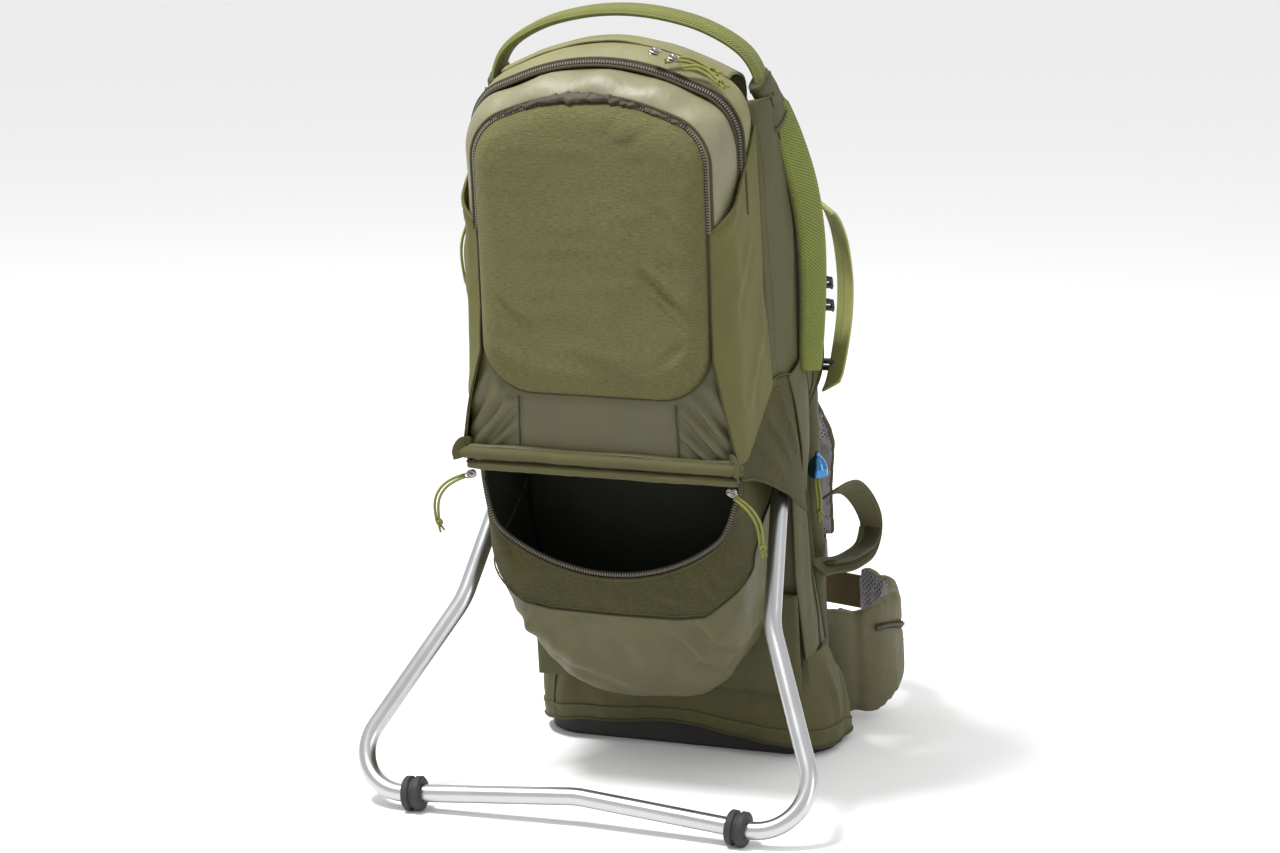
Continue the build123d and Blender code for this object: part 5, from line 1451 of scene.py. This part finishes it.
stitch_row("skirt_hem_stitches", hem_seam[:-1] + hem_out * 0.3, hem_out, "frame", 3.4)
for spot_x, name in ((-122, "front_left"), (120, "front_right")):
    column = np.argmin(np.abs(skirt_edge[:, 0] - spot_x) + (skirt_edge[:, 1] > -20) * 500)
    line = skirt_grid[2:, column] + [0, -0.8, 0]
    tube_piece(f"skirt_seam_{name}", line, 1.0, binding_cloth, start=(1, 0, 0), sides=6)
    stitch_row(f"skirt_seam_stitches_{name}", line + [3.4 * (1 if spot_x < 0 else -1), -0.7, 0], FORWARD,
               "frame", 3.4)


# ---------------------------------------------------------------- padded pieces
def pad_from(node, name, material, body, voxel=5.0, cap=6.0, pressure=3.0, shrink=1.2, shape=None,
             pick=None):
    """A soft pad grown from a slightly smaller copy of a CAD node.  pick() chooses each face's material."""
    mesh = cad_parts[node].data.copy()
    mesh.name = name
    mesh.materials.clear()
    normals = np.array([v.normal for v in mesh.vertices])
    co = np.array([v.co for v in mesh.vertices]) - normals * shrink / 1000
    mesh.vertices.foreach_set("co", co.astype(np.float32).ravel())
    o = bpy.data.objects.new(name, mesh)
    bpy.context.scene.collection.objects.link(o)
    puff(o, voxel, cap, pressure, 16, shape)
    o.data.materials.clear()
    for m in material if isinstance(material, (list, tuple)) else [material]:
        o.data.materials.append(m)
    o.data.polygons.foreach_set("material_index", [0] * len(o.data.polygons))
    if pick:
        for polygon in o.data.polygons:
            c, n = polygon.center * 1000, polygon.normal
            polygon.material_index = pick((c.x, c.dot(BACK), c.dot(UP)), (n.x, n.dot(BACK), n.dot(UP)))
    finish_piece(o, body, (node,))
    return o


def groove(distance, depth, width):
    """How deep a stitched channel presses in at some distance from its line."""
    return depth * np.exp(-(distance / width) ** 2)


def panel_shape(p, n):
    facing_out = np.clip(n[:, 1], 0, 1)
    lines = sum(groove(p[:, 2] - up, 5.0, 5.0) for up in (228, 300, 372, 440))
    lines = lines + groove(np.abs(p[:, 0]) - 30, 5.0, 5.0)
    return p - n * (lines * facing_out)[:, None]


def lumbar_shape(p, n):
    facing_out = np.clip(n[:, 1], 0, 1)
    lines = groove(np.abs(p[:, 0]) - 34, 4.5, 4.5) + groove(p[:, 2] - 96, 3.0, 4.0) * (np.abs(p[:, 0]) > 34)
    return p - n * (lines * facing_out)[:, None]


def yoke_shape(p, n):
    facing_out = np.clip(n[:, 1], 0, 1)
    lines = groove(np.abs(p[:, 0]) - 30, 3.5, 4.0) + groove(np.hypot(p[:, 0] / 62, (p[:, 2] - 392) / 33) * 30
                                                            - 30, 2.0, 2.4)
    return p - n * (lines * facing_out)[:, None]


pad_from("back_panel_pad", "back_panel_cushion", [pad_mesh, grey_cloth], "frame", 5.0, 6, 3, 1.2,
         panel_shape, lambda c, n: 0 if n[1] > 0.35 and abs(c[0]) < 92 else 1)
pad_from("lumbar_pad", "lumbar_cushion", [pad_mesh, grey_cloth], "frame", 4.5, 6, 3, 1.2,
         lumbar_shape, lambda c, n: 0 if n[1] > 0.3 and abs(c[0]) < 82 else 1)
pad_from("yoke_pad", "yoke_cushion", [pad_mesh, grey_cloth], "yoke", 4.0, 4, 3, 0.8,
         yoke_shape, lambda c, n: 0 if n[1] > 0.4 else 1)


def seat_shape(p, n):
    on_back = np.clip(n[:, 1], 0, 1)
    on_top = np.clip(n[:, 2], 0, 1)
    lines = sum(groove(p[:, 2] - up, 2.6, 4.0) for up in (260, 314, 368, 420)) * on_back
    lines = lines + sum(groove(p[:, 1] - b, 2.4, 4.0) for b in (-76, -44)) * on_top
    lines = lines + groove(np.abs(p[:, 0]) - 60, 2.4, 3.5) * np.maximum(on_back, on_top)
    return p - n * lines[:, None]


def drool_shape(p, n):
    lines = groove(np.abs(p[:, 0]) - 84, 1.8, 3.0) + groove(np.abs(p[:, 0]), 1.2, 3.0)
    return p - n * lines[:, None]


pad_from("child_seat", "child_seat_cushion", soft_cloth, "seat", 4.5, 4, 3, 0.8, seat_shape)
pad_from("drool_pad", "drool_pad_fleece", soft_cloth, "frame", 4.5, 4, 2.5, 0.8, drool_shape)

for side, s in SIDES:
    path = curve_through([(s * 44, -98.5, 446), (s * 34, -92, 392), (s * 24, -74, 334)], 50)
    strap_piece(f"harness_shoulder_{side}", path, (1, 0, 0), 26, 3.2, black_webbing, "seat", "black_plastic",
                nodes=("seat_harness",))
    pad_path = path[6:34] + [0, 2.8, 0]
    size = np.sin(pi * np.linspace(0.06, 0.94, 28)) ** 0.3
    section = np.array([padded_section(36 * f, 6.5 * f) for f in size])
    harness_pad = grid_piece(f"harness_pad_{side}", swept(pad_path, section, (1, 0, 0)), soft_cloth, "seat",
                             "grey_mesh", wrap=True, caps="both")
crotch = curve_through([(0, -42, 207), (0, -54, 244), (0, -68, 284)], 40)
strap_piece("harness_crotch", crotch, (1, 0, 0), 26, 3.2, black_webbing, "seat", "black_plastic")


# ---------------------------------------------------------------- shoulder straps and their webbing
def strap_pick(side_axis):
    return lambda c, n: 1 if abs(n[0]) > 0.72 else (0 if side_axis(c, n) else 2)


def towards_wearer(c, n):
    """The face against the wearer's shoulder and chest looks back and down along the strap."""
    middle = np.array((140.0, 300.0))
    return (middle[0] - c[1]) * n[1] + (middle[1] - c[2]) * n[2] < 0


STRAP_X = 62
for side, s in SIDES:
    def strap_shape(p, n, s=s):
        lines = groove(np.abs(p[:, 0] - s * STRAP_X) - 21, 1.6, 2.0)
        lines = lines + groove(p[:, 2] - 200, 1.5, 3) + groove(p[:, 2] - 404, 1.5, 3)
        sag_out = 20 * np.exp(-((p[:, 2] - 246) / 42) ** 2)
        p = p + np.stack([0 * sag_out, sag_out, 0 * sag_out], axis=-1)
        return p - n * (lines * (np.abs(n[:, 0]) < 0.5))[:, None]

    pad_from(f"shoulder_strap_{side}", f"shoulder_pad_{side}", [grey_mesh, binding_cloth, grey_cloth], "yoke",
             3.6, 3.5, 3, 0.6, strap_shape, strap_pick(towards_wearer))
    # olive tab sewn over the strap's end, and the webbing from it through the ladder lock
    tab_line = [(166.5, 158), (167.5, 144), (167.5, 134), (166.5, 124)]
    tab = curve_through([(s * STRAP_X, back, up) for back, up in tab_line], 30)
    strap_piece(f"strap_tab_{side}", tab + [0, 5.2, 0], (1, 0, 0), 32, 2.4, olive_webbing, "yoke",
                "olive_webbing")
    strap_piece(f"strap_tab_inner_{side}", tab + [0, -5.2, 0], (1, 0, 0), 32, 2.4, olive_webbing, "yoke",
                "olive_webbing")
    for k, up in enumerate((152, 136)):
        row = np.array([(s * STRAP_X + x, 173.4, up) for x in np.linspace(-13, 13, 20)])
        stitch_row(f"strap_tab_stitches_{side}_{k}", row, (0, 1, 0), "yoke", 2.6)
    drop = [(60.5, 110), (84, 104.5), (122, 105), (158, 111.5)]
    route = curve_through([(s * STRAP_X, back, up) for back, up in drop], 60)
    webbing = strap_piece(f"adjuster_webbing_{side}", route, (1, 0, 0), 23, 2.2, golden_webbing, None,
                          "golden_webbing", nodes=("strap_webbing",))
    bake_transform(webbing)
    # sternum strap's half: webbing and its buckle
    chest_line = [(70, 127.5, 318), (52, 128, 317.6), (34, 128, 318), (22, 129, 318)]
    chest = curve_through([(s * x, back, up) for x, back, up in chest_line], 40)
    strap_piece(f"sternum_webbing_{side}", chest, (0, 0, 1), 19, 2.2, black_webbing, f"sternum_{side}",
                "black_plastic", nodes=(f"sternum_strap_{side}",))
    buckle_path = np.array([(s * x, 128, 318) for x in (6.0, 7.5, 12, 18, 24, 29, 30.5)])
    buckle_size = [(20, 6), (24, 9), (26, 11), (26, 12), (26, 11.5), (24, 10), (20, 8)]
    section = np.array([padded_section(w, t, 3.6) for w, t in buckle_size])
    grid_piece(f"sternum_buckle_{side}", swept(buckle_path, section, (0, 0, 1)), plastic, f"sternum_{side}",
               "black_plastic", wrap=True, caps="both")
    sternum_ribs = [pill((s * x, 134.2, 318), (0, 0, 1), (1, 0, 0), (0, 1, 0), 16, 1.6, 1.4)
                    for x in (13, 17, 21, 25)]
    joined(f"sternum_buckle_ribs_{side}", sternum_ribs, plastic, f"sternum_{side}")

# ---------------------------------------------------------------- hip wings
WING_PLAN = [(97, 54), (148, 83), (162, 124), (142, 169), (108, 191)]


def settle(o):
    """Makes a piece's modifiers part of its mesh."""
    graph = bpy.context.evaluated_depsgraph_get()
    settled = bpy.data.meshes.new_from_object(o.evaluated_get(graph))
    o.modifiers.clear()
    o.data = settled


def wing_droop(t):
    """How far a wing hangs down at each share of its length."""
    return np.interp(t, [0, 0.25, 0.6, 0.85, 1], [3, 8, 9, 3, 0])


for side, s in SIDES:
    plan = spread(bend_path([(s * x, back) for x, back in WING_PLAN], 28, 8, 8), 90)
    ahead = unit(np.gradient(plan, axis=0))
    outward_plan = np.stack([ahead[:, 1], -ahead[:, 0]], axis=-1) * s

    def wing_spot(t, up, lift):
        at = np.stack([np.interp(t, np.linspace(0, 1, 90), plan[:, k]) for k in (0, 1)], axis=-1)
        off = np.stack([np.interp(t, np.linspace(0, 1, 90), outward_plan[:, k]) for k in (0, 1)], axis=-1)
        at = at + off * lift
        return np.stack([at[..., 0], at[..., 1], np.broadcast_to(up, np.shape(t))], axis=-1)

    def wing_shape(p, n, plan=plan):
        distance = np.linalg.norm(p[:, None, :2] - plan[None], axis=2)
        t = distance.argmin(1) / 89
        zip_up = 90 - 44 * np.clip((t - 0.3) / 0.5, 0, 1) ** 1.7
        outside = np.clip(n[:, 0] * np.sign(plan[distance.argmin(1), 0]), 0, 1)
        lines = groove(p[:, 2] - zip_up, 2.6, 4.0) * (t > 0.28) * (t < 0.84) * outside
        lines = lines + groove((t - 0.22) * 150, 2.6, 4.5) + groove((t - 0.88) * 150, 1.8, 3.5)
        p = p - np.stack([0 * t, 0 * t, wing_droop(t)], axis=-1)
        return p - n * lines[:, None] + n * (1.8 * ripple(p, 22, 101, (1, 1, 2.6)))[:, None]

    wing = pad_from(f"hip_wing_{side}", f"hip_wing_pad_{side}", [olive_cloth, grey_mesh], None,
                    4.0, 5, 3.5, 0.8, wing_shape)
    for polygon in wing.data.polygons:
        c, n = polygon.center * 1000, polygon.normal
        at = np.array((c.x, c.dot(BACK)))
        nearest = np.linalg.norm(plan - at, axis=1).argmin()
        inward = -(n.x * outward_plan[nearest, 0] + n.dot(BACK) * outward_plan[nearest, 1])
        polygon.material_index = 1 if inward > 0.5 else 0
    settle(wing)
    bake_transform(wing)
    t = np.linspace(0.32, 0.8, 70)
    zip_up = 90 - 44 * np.clip((t - 0.3) / 0.5, 0, 1) ** 1.7
    zip_up = zip_up - wing_droop(t)
    zip_line = wing_spot(t, zip_up, 7.4)
    zip_lift = wing_spot(t, zip_up, 9) - wing_spot(t, zip_up, 8)
    zip_pieces(f"wing_zip_{side}", zip_line, zip_lift, f"hip_{side}", width=6.4)
    pull = curve_through([zip_line[-2] + zip_lift[-2] * 2, zip_line[-1] + zip_lift[-1] * 4 + [0, 3, -5],
                          zip_line[-1] + zip_lift[-1] * 4.5 + [0, 6, -16]], 24)
    tube_piece(f"wing_zip_pull_{side}", pull, 1.2, cord_cloth, f"hip_{side}", "cord", start=(1, 0, 0),
               sides=8)
    tube_piece(f"wing_zip_knot_{side}",
               pull[-1] + np.array([(0, 0, 2), (0.6, 0, 0), (0, 0.3, -3), (0, 0, -5)]), [1.6, 3.0, 2.8, 1.4],
               cord_cloth, f"hip_{side}", "cord", start=(1, 0, 0), sides=10)
    joined(f"wing_zip_slider_{side}",
           [pill(zip_line[-2] + zip_lift[-2] * 1.6, (0, 0.5, -0.85), (0, 0.85, 0.5), zip_lift[-2], 8, 6, 3)],
           slider_metal, f"hip_{side}")
    for rail, up in (("upper", 88), ("lower", 54)):
        t = np.linspace(0.9, 0.99, 12)
        stitch_row(f"wing_tip_stitches_{side}_{rail}", wing_spot(t, up, 7.2), (s * 0.6, 0.8, 0),
                   f"hip_{side}", 3)
    belt = np.array([(s * 113, 188.5, 71), (s * 90, 194, 71), (s * 62, 200, 71), (s * 34, 206, 71),
                     (s * 25, 207.6, 71)])
    strap_piece(f"hip_webbing_{side}", spread(belt, 50), (0, 0, 1), 36, 2.6, golden_webbing, f"hip_{side}",
                "golden_webbing")


# ---------------------------------------------------------------- zip sliders
def slider(name, middle, ahead, lift, body, nodes=()):
    """A zip slider: two plates, the post between them, a bridge and the ring that takes its cord."""
    middle, ahead, lift = (np.asarray(a, float) for a in (middle, ahead, lift))
    ahead = unit(ahead)
    across = unit(np.cross(ahead, lift))
    up = np.cross(across, ahead)
    blocks = [pill(middle + up * 1.8, ahead, across, up, 9, 7.4, 1.6),
              pill(middle - up * 0.4, ahead, across, up, 9, 7, 1.4),
              pill(middle + up * 0.7 + ahead * 2.8, ahead, across, up, 2.4, 3, 3)]
    joined(f"{name}_plates", blocks, slider_metal, body, nodes)
    bridge = curve_through([middle + ahead * 3 + up * 2.4, middle + ahead * 1.4 + up * 4.4,
                            middle - ahead * 1.6 + up * 4.4, middle - ahead * 3 + up * 2.4], 20)
    tube_piece(f"{name}_bridge", bridge, 0.8, slider_metal, body, "slider_metal", start=across, sides=8)
    turns = np.linspace(0, 2 * pi, 28)
    loop = np.array([middle - ahead * (3.6 * sin(a) + 2.6) + across * 2.3 * cos(a) + up * (4.2 - 0.8 * sin(a))
                     for a in turns])
    tube_piece(f"{name}_ring", loop, 0.75, slider_metal, body, "slider_metal", start=up, sides=8)


slider("main_zip_slider", (-125.8, -166, 573), (0, 0, 1), (-1, 0, 0), "main_slider", ("main_zip_slider",))
for k, x in enumerate((50, 66)):
    slider(f"top_zip_slider_{k}", (x, -166, crown_height(x) + 3), (-1, 0, 0.3), (0, 0, 1), "top_sliders",
           ("top_zip_sliders",))
for side, s in SIDES:
    slider(f"lower_zip_slider_{side}_head", (s * 122, -231, 341), (-s, 0, 0.25), FORWARD,
           f"lower_slider_{side}", (f"lower_zip_slider_{side}",))
